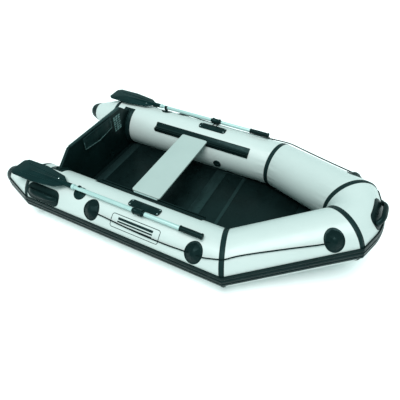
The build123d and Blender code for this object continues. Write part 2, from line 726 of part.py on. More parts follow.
def oar_blade():
    """A flat blade with a slanted tip, a raised spine and a socket round the shaft."""
    half = BLADE_HALF_WIDTH
    outline = make_face(Polyline(
        (BLADE_TIP_X, OAR_Y - half + TIP_SLANT),
        (BLADE_TIP_X + TIP_RUN, OAR_Y - half),
        (BLADE_SHOULDER_X, OAR_Y - half - BLADE_FLARE),
        (BLADE_THROAT_X, OAR_Y - BLADE_THROAT_HALF_WIDTH),
        (SOCKET_X[0], OAR_Y - SOCKET_R),
        (SOCKET_X[0], OAR_Y + SOCKET_R),
        (BLADE_THROAT_X, OAR_Y + BLADE_THROAT_HALF_WIDTH),
        (BLADE_SHOULDER_X, OAR_Y + half + BLADE_FLARE),
        (BLADE_TIP_X + TIP_RUN, OAR_Y + half),
        (BLADE_TIP_X, OAR_Y + half - TIP_SLANT),
        close=True,
    ))
    corners = outline.vertices().filter_by_position(Axis.X, BLADE_TIP_X, SOCKET_X[0] - 1)
    outline = fillet(corners, BLADE_CORNER)
    blade = extrude(Pos(0, 0, OAR_Z) * outline, BLADE_THICK / 2, both=True)
    spine_start = (BLADE_TIP_X + SPINE_INSET, OAR_Y, OAR_Z)
    axis = Plane(origin=spine_start, z_dir=(1, 0, 0))
    length = SOCKET_X[0] - spine_start[0]
    spine = loft([axis * Circle(BLADE_THICK / 2), axis.offset(length) * Circle(SOCKET_R)])
    socket = oar_rod(*SOCKET_X, SOCKET_R) - oar_rod(SHAFT_X[0], SOCKET_X[1], SHAFT_R)
    return blade + spine + socket


# Clip that holds the stowed shaft; it is open on the outboard side


def oar_clip():
    distance = CLIP_X - CONE_SEAM_X
    patch = side.wrap(
        TUBE_R,
        TUBE_R + CLIP_PATCH,
        (CLIP_ANGLE - CLIP_PATCH_HALF_ANGLE, CLIP_ANGLE + CLIP_PATCH_HALF_ANGLE),
        distance - CLIP_PATCH_R,
        distance + CLIP_PATCH_R,
    )
    disc = Circle(CLIP_PATCH_R)
    patch &= extrude(side.normal_plane(distance, CLIP_ANGLE) * disc, CLIP_PATCH_R / 2, both=True)
    x_range = (CLIP_X - CLIP_HALF, CLIP_X + CLIP_HALF)
    wall = OAR_Y - SHAFT_R - CLIP_GAP
    roof = OAR_Z + SHAFT_R + CLIP_GAP
    floor = OAR_Z - SHAFT_R - CLIP_FLOOR_GAP
    hook = block(x_range, (wall - CLIP_WALL, wall), (floor - CLIP_WALL, roof + CLIP_WALL))
    hook += block(x_range, (wall - CLIP_WALL, OAR_Y), (roof, roof + CLIP_WALL))
    hook += block(x_range, (wall - CLIP_WALL, OAR_Y + CLIP_LIP), (floor - CLIP_WALL, floor))
    hook += block(x_range, (wall + 1, OAR_Y + CLIP_POST), (AXIS_Z + TUBE_R / 2, floor))
    return patch + (hook - side.rod(TUBE_R + CLIP_PATCH))


# Handles


def plate_section(angle):
    return sector(TUBE_R, TUBE_R + HANDLE_PLATE, angle - HANDLE_HALF_ANGLE, angle + HANDLE_HALF_ANGLE)


def handle_outline(run, distance, angle, half):
    outline = RectangleRounded(2 * half, HANDLE_WIDTH, HANDLE_CORNER)
    return extrude(run.normal_plane(distance, angle) * outline, TUBE_R / 3, both=True)


def carry_plate(distance, half):
    plate = extrude(side.section(distance - half) * plate_section(HANDLE_ANGLE), 2 * half)
    return plate & handle_outline(side, distance, HANDLE_ANGLE, half)


def tow_plate():
    plate = nose_strip(plate_section(TOW_HANDLE_ANGLE))
    return plate & handle_outline(nose_front, 0, TOW_HANDLE_ANGLE, TOW_HANDLE_HALF)


def handle_grip(run, distance, angle, skin):
    """A bar along the tube on two posts that end at its skin, with room for fingers behind it."""
    axis_r = TUBE_R + GRIP_STAND_OFF
    ends = [run.point(distance + way * GRIP_BAR_HALF, angle, axis_r) for way in (-1, 1)]
    grip = rod_between(*ends, GRIP_BAR_R)
    for way in (-1, 1):
        place = distance + way * (GRIP_BAR_HALF - POST_HALF)
        grip += rod_between(
            run.point(place, angle, TUBE_R - POST_R), run.point(place, angle, axis_r), POST_R
        )
    return grip - skin


# Valves


def valve_body(plane, rod):
    """A flange that wraps the tube, a barrel through the fabric and a recess for the cap."""
    flange = extrude(plane.offset(-TUBE_R / 8) * Circle(VALVE_FLANGE_R), TUBE_R / 8 + VALVE_STAND)
    body = flange - rod + extrude(plane.offset(-VALVE_DEPTH) * Circle(VALVE_BARREL_R), VALVE_DEPTH)
    recess = Circle(VALVE_CAP_R + VALVE_RECESS_GAP)
    body -= extrude(plane.offset(VALVE_STAND - VALVE_CAP_THICK) * recess, 2 * VALVE_CAP_THICK)
    bore = Circle(VALVE_CAP_R - VALVE_LIP)
    return body - extrude(plane.offset(-2 * VALVE_DEPTH) * bore, 3 * VALVE_DEPTH)


def valve_cap(plane):
    start = VALVE_STAND - VALVE_CAP_THICK + VALVE_CAP_GAP
    cap = extrude(plane.offset(start) * Circle(VALVE_CAP_R), VALVE_CAP_THICK)
    bar = Rectangle(1.6 * VALVE_CAP_R, VALVE_CAP_R / 4)
    return cap + extrude(plane.offset(start) * bar, VALVE_CAP_THICK + VALVE_BAR)


# Grab line


def line_patch(run, distance, eye_angle, blind=0):
    """A domed patch with an eye along the tube; blind is -1 or 1 to close its rear or front."""
    skin = TUBE_R + PATCH_THICK
    angle = eye_angle + PATCH_LIFT_ANGLE
    plane = run.normal_plane(distance, angle)
    angles = (angle - PATCH_HALF_ANGLE, angle + PATCH_HALF_ANGLE)
    length = PATCH_HALF_LENGTH
    base = run.wrap(TUBE_R, skin, angles, distance - length, distance + length)
    base &= extrude(plane * Ellipse(length, PATCH_HALF_WIDTH), length, both=True)
    foot = plane.offset(-DOME_DEPTH) * Ellipse(*DOME_FOOT)
    dome = loft([foot, plane.offset(PATCH_HEIGHT) * Ellipse(*DOME_TOP)])
    dome -= run.rod(skin, before=TUBE_R, after=TUBE_R)
    eye = run.normal_plane(distance, eye_angle, EYE_STAND_OFF).origin
    start = eye - run.along * (length if blind != -1 else EYE_BLIND)
    end = eye + run.along * (length if blind != 1 else EYE_BLIND)
    return base + dome - rod_between(start, end, EYE_R)


def turn_radii(points):
    """For each inner point, the largest arc that 0.45 of the shorter run allows."""
    radii = []
    for before, corner, after in zip(points, points[1:], points[2:]):
        first = Vector(*corner) - Vector(*before)
        second = Vector(*after) - Vector(*corner)
        half_turn = radians(first.get_angle(second) / 2)
        radii.append(0.45 * min(first.length, second.length) / tan(half_turn))
    return radii


def grab_line():
    radii = turn_radii(LINE_ROUTE)
    print("grab line radii, mm:", [round(radius) for radius in radii])
    route = FilletPolyline(*LINE_ROUTE, radius=radii)
    start = Plane(origin=route @ 0, z_dir=route % 0)
    rope = sweep(start * Circle(LINE_R), path=route)
    expected = Circle(LINE_R).area * route.length
    print("grab line length, mm:", round(route.length))
    print("grab line volume ratio:", round(rope.volume / expected, 4))
    return rope


# The whole boat: every sub-part by name, each with its solids

cone = cone_solid(0) - cone_solid(-FABRIC)
rails = [cone_rail(), side_rail(), bow_rail()]
nose_rail = nose_strip(rail_face(TUBE_R))
bottom = [bottom_panel(), bow_bottom_panel()]
strap = seam_band(cone_seam, cone_rod, side_rod, rails)
bow_band = seam_band(bow_seam, side_rod, bow_rod, rails + bottom)
nose_band = seam_band(nose_seam, bow_rod, nose_rod, rails + [nose_rail] + bottom)
carry_run = CARRY_HANDLE_X - CONE_SEAM_X
plate_top = TUBE_R + HANDLE_PLATE
carry_grip = handle_grip(side, carry_run, HANDLE_ANGLE, side.rod(plate_top))
tow_grip = handle_grip(nose_front, 0, TOW_HANDLE_ANGLE, nose_rod(plate_top))
patches = [
    line_patch(side, STERN_PATCH_X - CONE_SEAM_X, STERN_EYE_ANGLE, blind=-1),
    line_patch(side, MIDDLE_PATCH_X - CONE_SEAM_X, MIDDLE_EYE_ANGLE),
    line_patch(bow, BOW_PATCH_RUN, BOW_EYE_ANGLE, blind=1),
]
side_valve_body = valve_body(side_valve, side_rod(TUBE_R))
bow_valve_body = starboard(valve_body(bow_valve, bow_rod(TUBE_R)))
rope = grab_line()
stern_web, main_web, fore_web = (web_middle(name) for name in ("stern", "main", "fore"))
HALF_WEB = PROFILE_WALL / 2

SUBPARTS = {
    "bow_tube_port": [bow_tube(valved=False)],
    "bow_tube_starboard": [starboard(bow_tube(valved=True))],
    "nose_tube": [nose_rod(TUBE_R) - nose_rod(TUBE_R - FABRIC)],
    "cone_tip_caps": both(tip_cap()),
    "seam_bands": both(strap) + both(bow_band) + both(nose_band),
    "chamber_baffles": both(baffle()),
    "rub_rail_nose": [nose_rail],
    "bottom_fabric": bottom,
    "keel_tube": [keel_tube()],
    "floor_board_stern": [floor_board(FLOOR_START_X, stern_web - HALF_WEB)],
    "floor_board_main": [floor_board(stern_web + HALF_WEB, main_web - HALF_WEB)],
    "floor_board_fore": [floor_board(main_web + HALF_WEB, fore_web - HALF_WEB)],
    "floor_board_bow": [bow_board()],
    "floor_joiners": [joiner(name) for name in JOINERS],
    "floor_stringers": both(stringer()),
    "transom_board": [transom_board()],
    "transom_holders": both(transom_holder()),
    "transom_pad_outer": [pad(TRANSOM_X - TRANSOM_THICK - PAD_THICK)],
    "transom_pad_inner": [inner_pad()],
    "transom_edge_cap": [edge_cap()],
    "pad_screws": pad_screws(PAD_SCREW_R),
    "safety_eyelet": [safety_eyelet()],
    "rating_plate": [rating_plate()],
    "drain_body": [drain_body()],
    "drain_plug": [drain_plug()],
    "seat_board": [seat_board()],
    "seat_sliders": both(seat_slider()),
    "tilt_pins": both(tilt_pin()),
    "oar_clips": both(oar_clip()),
    "handle_plates": both(carry_plate(carry_run, CARRY_HANDLE_HALF)) + [tow_plate()],
    "handle_grips": both(carry_grip) + [tow_grip],
    "valve_bodies": both(side_valve_body) + [bow_valve_body],
    "valve_cap_bow": [starboard(valve_cap(bow_valve))],
    "grab_line_patches": [each for patch in patches for each in both(patch)],
}
PAIRS = {
    "side_tube": [side_tube()],
    "stern_cone": [cone],
    "rub_rail": rails,
    "seat_rail": [seat_rail()],
    "rowlock_base": [rowlock_base()],
    "rowlock_cradle": [cradle()],
    "oar_collar": [collar()],
    "oar_shaft": [oar_shaft()],
    "oar_grip": [oar_grip()],
    "oar_ferrule": [oar_ferrule()],
    "oar_blade": [oar_blade()],
    "valve_cap": [valve_cap(side_valve)],
    "grab_line": [rope],
}
for name, shapes in PAIRS.items():
    SUBPARTS[name + "_port"] = shapes
    SUBPARTS[name + "_starboard"] = [starboard(shape) for shape in shapes]

os.makedirs("parts", exist_ok=True)
for name, shapes in SUBPARTS.items():
    solids = [solid for shape in shapes for solid in shape.solids()]
    export_step(Compound(solids), f"parts/{name}.step")
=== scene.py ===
"""Looks of the inflatable dinghy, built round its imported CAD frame.

Metres. +X points to the bow, +Y to port and +Z up, as in the frame. Port pieces are built,
and starboard ones are mirrored from them.
"""

import json
from math import atan2, asin, cos, exp, floor, pi, radians, sin
import random

import bmesh
import bpy
from mathutils import Matrix, Vector

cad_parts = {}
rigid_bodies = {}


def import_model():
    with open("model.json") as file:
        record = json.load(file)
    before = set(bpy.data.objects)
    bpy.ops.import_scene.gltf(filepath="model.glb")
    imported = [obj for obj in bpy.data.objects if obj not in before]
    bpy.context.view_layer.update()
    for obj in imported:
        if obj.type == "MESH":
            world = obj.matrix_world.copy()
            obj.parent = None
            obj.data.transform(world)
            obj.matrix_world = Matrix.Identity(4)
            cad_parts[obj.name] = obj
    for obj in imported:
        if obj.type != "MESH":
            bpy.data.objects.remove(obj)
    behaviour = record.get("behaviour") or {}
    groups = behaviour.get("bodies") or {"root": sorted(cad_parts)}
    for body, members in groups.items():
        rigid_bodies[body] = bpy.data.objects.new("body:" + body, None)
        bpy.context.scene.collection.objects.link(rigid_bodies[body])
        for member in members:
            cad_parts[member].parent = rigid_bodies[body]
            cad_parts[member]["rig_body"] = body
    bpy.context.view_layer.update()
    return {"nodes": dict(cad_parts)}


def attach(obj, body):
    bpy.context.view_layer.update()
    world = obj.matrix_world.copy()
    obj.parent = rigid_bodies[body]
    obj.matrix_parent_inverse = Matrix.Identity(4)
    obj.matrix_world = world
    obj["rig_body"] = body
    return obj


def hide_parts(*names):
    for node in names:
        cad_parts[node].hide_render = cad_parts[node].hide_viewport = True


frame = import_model()
scene = bpy.context.scene
MM = 0.001

# Hull lines, the same as the CAD frame's
TUBE_R = 0.205
AXIS_Y, AXIS_Z = 0.611, 0.2065
CONE_SEAM_X, BOW_SEAM_X = -1.150, 0.620
NOSE_X, NOSE_Y, NOSE_RISE = 1.325, 0.1735, 0.194
NOSE_TURN, NOSE_STRAIGHT = 20, 0.080
CONE_ROUND_X, CONE_ROUND_R = -1.503, 0.077

# Grab line: the route's points on the port side, and where its patches sit
LINE_R = 5.5 * MM
LINE_ROUTE = [
    (-0.4700, 0.7778, 0.3515),
    (-0.3850, 0.7778, 0.3515),
    (-0.2700, 0.7806, 0.3419),
    (-0.1400, 0.7840, 0.3350),
    (-0.0050, 0.7867, 0.3304),
    (0.1250, 0.7873, 0.3295),
    (0.2500, 0.7871, 0.3316),
    (0.3650, 0.7852, 0.3426),
    (0.4950, 0.7852, 0.3426),
    (0.5720, 0.7709, 0.3583),
    (0.6589, 0.7513, 0.3727),
    (0.7144, 0.7098, 0.3938),
    (0.8071, 0.6544, 0.4150),
    (0.9194, 0.5922, 0.4376),
    (1.0319, 0.5307, 0.4610),
    (1.1367, 0.4751, 0.4820),
    (1.2278, 0.4278, 0.5010),
    (1.2866, 0.3914, 0.5172),
]
PATCHES = {"stern": ("side", 0.675, 41), "middle": ("side", 1.580, 38), "bow": ("bow", 0.749, 38)}
PATCH_LIFT_ANGLE = 2
PATCH_HALF_LENGTH, PATCH_HALF_WIDTH = 0.070, 0.086

# Camera
CAMERA_PLACE = (1.2236, -2.2287, 2.4988)
CAMERA_AZIMUTH, CAMERA_ELEVATION, CAMERA_LENS = 26.856, 44.541, 34.32


def make_camera():
    azimuth, elevation = radians(CAMERA_AZIMUTH), radians(CAMERA_ELEVATION)
    forward = Vector((
        -sin(azimuth) * cos(elevation),
        cos(azimuth) * cos(elevation),
        -sin(elevation),
    ))
    camera = bpy.data.objects.new("camera", bpy.data.cameras.new("camera"))
    scene.collection.objects.link(camera)
    camera.data.sensor_width = 36
    camera.data.lens = CAMERA_LENS
    camera.location = CAMERA_PLACE
    camera.rotation_mode = "QUATERNION"
    camera.rotation_quaternion = forward.to_track_quat("-Z", "Y")
    scene.camera = camera


make_camera()


# Materials

NOISE_LOW, NOISE_HIGH = 0.3, 0.7
WEAVE_SCALE, WEAVE_TURN = 160, 0.6
GRAIN_SCALE = 420
BRUSHED_SCALE = (6, 240, 240)
TREAD_SCALE, TREAD_FINE_SCALE, TREAD_FINE_SHARE = 42, 500, 0.3
WOOD_SCALE = (400, 9, 400)
GLOSS_SPREAD = 0.08
SCUFF_SCALE, SCUFF_FROM, SCUFF_TO = 55, 0.60, 0.78
COAT_ROUGHNESS = 0.3
PLAIN_SPECULAR = 0.5
DARK_GLINT = (0.55, 1.0, 1.0, 1)


def nodes_of(material):
    material.use_nodes = True
    tree = material.node_tree
    return tree, tree.nodes["Principled BSDF"]


def add_node(tree, kind, **values):
    node = tree.nodes.new(kind)
    for name, value in values.items():
        setattr(node, name, value)
    return node


def noise_node(tree, place, scale, detail=3.0, roughness=0.5):
    node = add_node(tree, "ShaderNodeTexNoise")
    node.inputs["Scale"].default_value = scale
    node.inputs["Detail"].default_value = detail
    node.inputs["Roughness"].default_value = roughness
    tree.links.new(place, node.inputs["Vector"])
    return node.outputs["Fac"]


def ramp_node(tree, factor, low, high, low_at=NOISE_LOW, high_at=NOISE_HIGH):
    node = add_node(tree, "ShaderNodeValToRGB")
    first, last = node.color_ramp.elements
    first.position, first.color = low_at, (*low, 1)
    last.position, last.color = high_at, (*high, 1)
    tree.links.new(factor, node.inputs["Fac"])
    return node.outputs["Color"]


def range_node(tree, factor, low, high):
    node = add_node(tree, "ShaderNodeMapRange")
    node.inputs["From Min"].default_value = NOISE_LOW
    node.inputs["From Max"].default_value = NOISE_HIGH
    node.inputs["To Min"].default_value = low
    node.inputs["To Max"].default_value = high
    tree.links.new(factor, node.inputs["Value"])
    return node.outputs["Result"]


def math_node(tree, operation, first, second):
    node = add_node(tree, "ShaderNodeMath", operation=operation)
    for socket, value in zip(node.inputs, (first, second)):
        if isinstance(value, (int, float)):
            socket.default_value = value
        else:
            tree.links.new(value, socket)
    return node.outputs["Value"]


def wave_node(tree, place, direction, scale, turn=0.0):
    """Even bands across one direction, turned about the vertical by some radians."""
    mapping = add_node(tree, "ShaderNodeMapping")
    mapping.inputs["Rotation"].default_value = (0, 0, turn)
    tree.links.new(place, mapping.inputs["Vector"])
    node = add_node(tree, "ShaderNodeTexWave", wave_type="BANDS", bands_direction=direction)
    node.inputs["Scale"].default_value = scale
    tree.links.new(mapping.outputs["Vector"], node.inputs["Vector"])
    return node.outputs["Fac"]


def weave_height(tree, place):
    """Crossing threads under the coating, about 2 mm apart."""
    warp = wave_node(tree, place, "X", WEAVE_SCALE)
    weft = wave_node(tree, place, "DIAGONAL", WEAVE_SCALE, turn=WEAVE_TURN)
    return math_node(tree, "MULTIPLY", warp, weft)


def grain_height(tree, place):
    """A fine leathery grain, as on moulded plastic."""
    cells = add_node(tree, "ShaderNodeTexVoronoi", feature="SMOOTH_F1")
    cells.inputs["Scale"].default_value = GRAIN_SCALE
    tree.links.new(place, cells.inputs["Vector"])
    return cells.outputs["Distance"]


def stretched_noise(tree, place, scale, detail=3.0):
    """Noise with a scale of its own along each axis."""
    mapping = add_node(tree, "ShaderNodeMapping")
    mapping.inputs["Scale"].default_value = scale
    tree.links.new(place, mapping.inputs["Vector"])
    return noise_node(tree, mapping.outputs["Vector"], 1.0, detail=detail)


def brushed_height(tree, place):
    """Hair lines along the boat, as on drawn aluminium."""
    return stretched_noise(tree, place, BRUSHED_SCALE)


def tread_height(tree, place):
    """A diamond anti-slip pattern pressed into the boards, about 7 mm apart."""
    one = wave_node(tree, place, "X", TREAD_SCALE, turn=pi / 4)
    other = wave_node(tree, place, "X", TREAD_SCALE, turn=-pi / 4)
    fine = noise_node(tree, place, TREAD_FINE_SCALE)
    pressed = math_node(tree, "MAXIMUM", one, other)
    return math_node(tree, "ADD", pressed, math_node(tree, "MULTIPLY", fine, TREAD_FINE_SHARE))


def wood_height(tree, place):
    """Grain across the boat."""
    return stretched_noise(tree, place, WOOD_SCALE, detail=5.0)


def make_material(
    name, color, roughness, height, depth, shade, metallic=0.0, coat=0.0,
    specular=PLAIN_SPECULAR, patch_scale=6.0, scuffs=0.0,
):
    """A coated surface: blotchy colour, uneven gloss, a relief of its own, and light scuffs."""
    material = bpy.data.materials.new(name)
    tree, shader = nodes_of(material)
    place = add_node(tree, "ShaderNodeTexCoord").outputs["Object"]
    blotches = noise_node(tree, place, patch_scale, detail=6.0, roughness=0.6)
    low = [channel * (1 - shade) for channel in color]
    high = [min(1.0, channel * (1 + shade)) for channel in color]
    tint = ramp_node(tree, blotches, low, high)
    if scuffs:
        marks = noise_node(tree, place, SCUFF_SCALE, detail=8.0, roughness=0.75)
        worn = ramp_node(
            tree, marks, (0, 0, 0), (scuffs, scuffs, scuffs), SCUFF_FROM, SCUFF_TO
        )
        mix = add_node(tree, "ShaderNodeMix", data_type="RGBA", blend_type="ADD")
        mix.inputs["Factor"].default_value = 1.0
        tree.links.new(tint, mix.inputs["A"])
        tree.links.new(worn, mix.inputs["B"])
        tint = mix.outputs["Result"]
    tree.links.new(tint, shader.inputs["Base Color"])
    smudges = noise_node(tree, place, 4 * patch_scale, detail=4.0)
    uneven = range_node(tree, smudges, roughness - GLOSS_SPREAD, roughness + GLOSS_SPREAD)
    tree.links.new(uneven, shader.inputs["Roughness"])
    relief = add_node(tree, "ShaderNodeBump")
    relief.inputs["Strength"].default_value = 1.0
    relief.inputs["Distance"].default_value = depth
    tree.links.new(height(tree, place), relief.inputs["Height"])
    tree.links.new(relief.outputs["Normal"], shader.inputs["Normal"])
    shader.inputs["Metallic"].default_value = metallic
    shader.inputs["Specular IOR Level"].default_value = specular
    if specular < PLAIN_SPECULAR:
        shader.inputs["Specular Tint"].default_value = DARK_GLINT
    shader.inputs["Coat Weight"].default_value = coat
    shader.inputs["Coat Roughness"].default_value = COAT_ROUGHNESS
    return material


MATERIALS = {
    "hull_fabric": make_material(
        "coated_fabric_light", (0.475, 0.518, 0.505), 0.42, weave_height, 0.12 * MM, shade=0.025,
        coat=0.10, patch_scale=2.5,
    ),
    "dark_fabric": make_material(
        "coated_fabric_dark", (0.006, 0.016, 0.016), 0.42, weave_height, 0.2 * MM, shade=0.2,
        scuffs=0.005, specular=0.10,
    ),
    "black_rubber": make_material(
        "black_rubber", (0.003, 0.009, 0.009), 0.32, grain_height, 0.15 * MM, shade=0.2,
        scuffs=0.004, specular=0.10,
    ),
    "black_plastic": make_material(
        "black_plastic", (0.003, 0.011, 0.011), 0.32, grain_height, 0.12 * MM, shade=0.15,
        scuffs=0.004, specular=0.12,
    ),
    "blade_plastic": make_material(
        "blade_plastic", (0.003, 0.014, 0.0145), 0.36, grain_height, 0.12 * MM, shade=0.25,
        patch_scale=9, scuffs=0.004, specular=0.08,
    ),
    "floor_board": make_material(
        "film_faced_board", (0.0025, 0.0065, 0.0065), 0.34, tread_height, 0.25 * MM, shade=0.35,
        patch_scale=5, scuffs=0.003, specular=0.16,
    ),
    "transom_board": make_material(
        "transom_board", (0.002, 0.007, 0.007), 0.40, wood_height, 0.12 * MM, shade=0.3,
        scuffs=0.003, specular=0.2,
    ),
    "pad_plastic": make_material(
        "pad_plastic", (0.006, 0.017, 0.017), 0.5, grain_height, 0.2 * MM, shade=0.2,
        scuffs=0.006, specular=0.25,
    ),
    "dark_aluminium": make_material(
        "dark_aluminium", (0.008, 0.018, 0.018), 0.34, brushed_height, 0.05 * MM, shade=0.2,
        metallic=0.2, specular=0.3,
    ),
    "aluminium": make_material(
        "satin_aluminium", (0.36, 0.50, 0.485), 0.40, brushed_height, 0.010 * MM, shade=0.04,
        metallic=0.15,
    ),
    "steel": make_material(
        "bright_steel", (0.62, 0.68, 0.68), 0.25, brushed_height, 0.03 * MM, shade=0.08,
        metallic=0.9,
    ),
    "seat_paint": make_material(
        "seat_paint", (0.345, 0.405, 0.39), 0.45, grain_height, 0.1 * MM, shade=0.03,
        patch_scale=3,
    ),
    "plate_print": make_material(
        "plate_print", (0.14, 0.24, 0.235), 0.4, grain_height, 0.05 * MM, shade=0.05,
    ),
    "print_ink": make_material(
        "print_ink", (0.004, 0.010, 0.010), 0.35, weave_height, 0.1 * MM, shade=0.15,
        specular=0.25,
    ),
    "rope": make_material(
        "braided_rope", (0.002, 0.007, 0.007), 0.6, grain_height, 0.3 * MM, shade=0.35,
        patch_scale=60, specular=0.08,
    ),
}


# Pieces


def smooth_shade(mesh, angle):
    for face in mesh.polygons:
        face.use_smooth = True
    mesh.set_sharp_from_angle(angle=radians(angle))


def place_piece(name, mesh, material, body="hull", replaces=(), angle=35):
    mesh.materials.clear()
    mesh.materials.append(MATERIALS[material])
    smooth_shade(mesh, angle)
    piece = bpy.data.objects.new(name, mesh)
    scene.collection.objects.link(piece)
    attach(piece, body)
    if replaces:
        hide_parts(*replaces)
    return piece


def mesh_from(name, points, faces):
    mesh = bpy.data.meshes.new(name)
    mesh.from_pydata([tuple(point) for point in points], [], faces)
    mesh.update()
    return mesh


def mirrored(points, faces):
    return [Vector((p[0], -p[1], p[2])) for p in points], [tuple(reversed(f)) for f in faces]


def merged(shapes):
    """Several (points, faces) shapes as one."""
    points, faces = [], []
    for more_points, more_faces in shapes:
        start = len(points)
        points.extend(more_points)
        faces.extend(tuple(index + start for index in face) for face in more_faces)
    return points, faces


def both(shape):
    return merged([shape, mirrored(*shape)])


def pair(name, shape, material, replaces=None, body=None, angle=35):
    """The port piece and its starboard mirror image."""
    for side, form in (("port", shape), ("starboard", mirrored(*shape))):
        place_piece(
            f"{name}_{side}",
            mesh_from(name, *form),
            material,
            body=f"{body}_{side}" if body else "hull",
            replaces=[f"{replaces}_{side}"] if replaces else (),
            angle=angle,
        )


def full_turn(count):
    """Even angles in radians, once round."""
    return [2 * pi * step / count for step in range(count)]


def grid_faces(rows, columns, closed):
    """Quads between rows of points; closed joins each row's last point to its first."""
    faces = []
    for row in range(rows - 1):
        for column in range(columns if closed else columns - 1):
            after = (column + 1) % columns
            a, b = row * columns + column, row * columns + after
            faces.append((a, b, b + columns, a + columns))
    return faces


def closed_sweep(rings):
    """A closed surface through rings of points, with its two ends capped."""
    count = len(rings[0])
    points = [point for ring in rings for point in ring]
    faces = grid_faces(len(rings), count, closed=True)
    faces.append(tuple(reversed(range(count))))
    faces.append(tuple(range(len(points) - count, len(points))))
    return points, faces


def smooth_step(low, high, value):
    t = min(1.0, max(0.0, (value - low) / (high - low)))
    return t * t * (3 - 2 * t)


# Tube runs


class Run:
    """A straight stretch of tube, with the direction that faces outboard in its section."""

    def __init__(self, start, end, outboard):
        self.start = Vector(start)
        self.along = (Vector(end) - self.start).normalized()
        self.length = (Vector(end) - self.start).length
        self.out = Vector(outboard)
        self.up = self.along.cross(self.out)

    def direction(self, angle):
        return self.out * cos(radians(angle)) + self.up * sin(radians(angle))

    def point(self, distance, angle, radius):
        return self.start + self.along * distance + self.direction(angle) * radius


def carried(outboard, before, after):
    """The outboard direction taken round a bend without twisting."""
    hinge = before.cross(after).normalized()
    return Matrix.Rotation(before.angle(after), 3, hinge) @ outboard


side_start = Vector((CONE_SEAM_X, AXIS_Y, AXIS_Z))
bow_start = Vector((BOW_SEAM_X, AXIS_Y, AXIS_Z))
nose_start = Vector((NOSE_X, NOSE_Y, AXIS_Z + NOSE_RISE))
nose_along = Vector((sin(radians(NOSE_TURN)), -cos(radians(NOSE_TURN)), 0))
side = Run(side_start, bow_start, (0, 1, 0))
bow_along = (nose_start - bow_start).normalized()
bow = Run(bow_start, nose_start, carried(side.out, side.along, bow_along))
nose_turn_start = nose_start + nose_along * NOSE_STRAIGHT
nose = Run(nose_start, nose_turn_start, carried(bow.out, bow.along, nose_along))
nose_bend_r = nose_turn_start.y / sin(radians(NOSE_TURN))
nose_bend = Vector((nose_turn_start.x - nose_bend_r * cos(radians(NOSE_TURN)), 0, 0))
nose_middle = Vector((nose_bend.x + nose_bend_r, 0, nose_start.z))
nose_front_out = Matrix.Rotation(radians(-NOSE_TURN), 3, "Z") @ nose.out
nose_front = Run(nose_middle, nose_middle - Vector((0, NOSE_Y, 0)), nose_front_out)
RUNS = {"side": side, "bow": bow}
CONE_PLANE = (side_start, side.along)
BOW_PLANE = (bow_start, (side.along + bow.along).normalized())
NOSE_PLANE = (nose_start, (bow.along + nose.along).normalized())


# Air tubes: fabric skins with puckers beside the seams and a lapped seam underneath

ROUND_POINTS = 180
ROW_STEP = 0.009
PUCKER_FROM, PUCKER_TO, PUCKER_FADE = 0.021, 0.040, 0.055
PUCKER_HEIGHT = 2.2 * MM
PUCKER_WAVES = ((11, 0.4), (19, 0.35), (31, 0.25))
PUCKER_OUTBOARD_SHARE = 0.35
LAP_ANGLE, LAP_HALF_ANGLE, LAP_EDGE_ANGLE, LAP_HEIGHT = 232, 4, 0.6, 1.0 * MM
NOSE_STRAIGHT_ROWS, NOSE_TURN_ROWS = 12, 26
CONE_ROWS, BALL_ROWS = 40, 16


def pucker(seed, angle, seam_distance):
    """Folds that run away from a seam band, strongest on the inside of the bend."""
    chance = random.Random(seed)
    rise = smooth_step(PUCKER_FROM, PUCKER_TO, seam_distance)
    fade = exp(-max(0.0, seam_distance - PUCKER_TO) / PUCKER_FADE)
    wave = sum(
        cos(count * radians(angle) + chance.uniform(0, 2 * pi)) * weight
        for count, weight in PUCKER_WAVES
    )
    inboard_share = smooth_step(-0.3, 0.9, -cos(radians(angle)))
    inboard = PUCKER_OUTBOARD_SHARE + (1 - PUCKER_OUTBOARD_SHARE) * inboard_share
    return PUCKER_HEIGHT * rise * fade * wave * inboard


def lap(angle):
    """Extra height where the tube's fabric overlaps itself."""
    away = abs((angle - LAP_ANGLE + 180) % 360 - 180)
    return LAP_HEIGHT * (1 - smooth_step(LAP_HALF_ANGLE - LAP_EDGE_ANGLE, LAP_HALF_ANGLE, away))


def reach(origin, along, plane):
    """How far a line from the origin travels before it meets a plane."""
    point, normal = plane
    return (point - origin).dot(normal) / along.dot(normal)


def tube_skin(run, first, last, seed):
    """The skin of a run between two seam planes, as rows of points round the tube."""
    rows = round(run.length / ROW_STEP)
    points = [None] * (rows * ROUND_POINTS)
    for column in range(ROUND_POINTS):
        angle = 360 * column / ROUND_POINTS
        origin = run.point(0, angle, TUBE_R)
        start, end = reach(origin, run.along, first), reach(origin, run.along, last)
        out = run.direction(angle)
        for row in range(rows):
            travel = start + (end - start) * row / (rows - 1)
            lift = pucker(seed, angle, travel - start) + pucker(seed + 1, angle, end - travel)
            points[row * ROUND_POINTS + column] = (
                origin + run.along * travel + out * (lift + lap(angle))
            )
    return points, grid_faces(rows, ROUND_POINTS, closed=True)


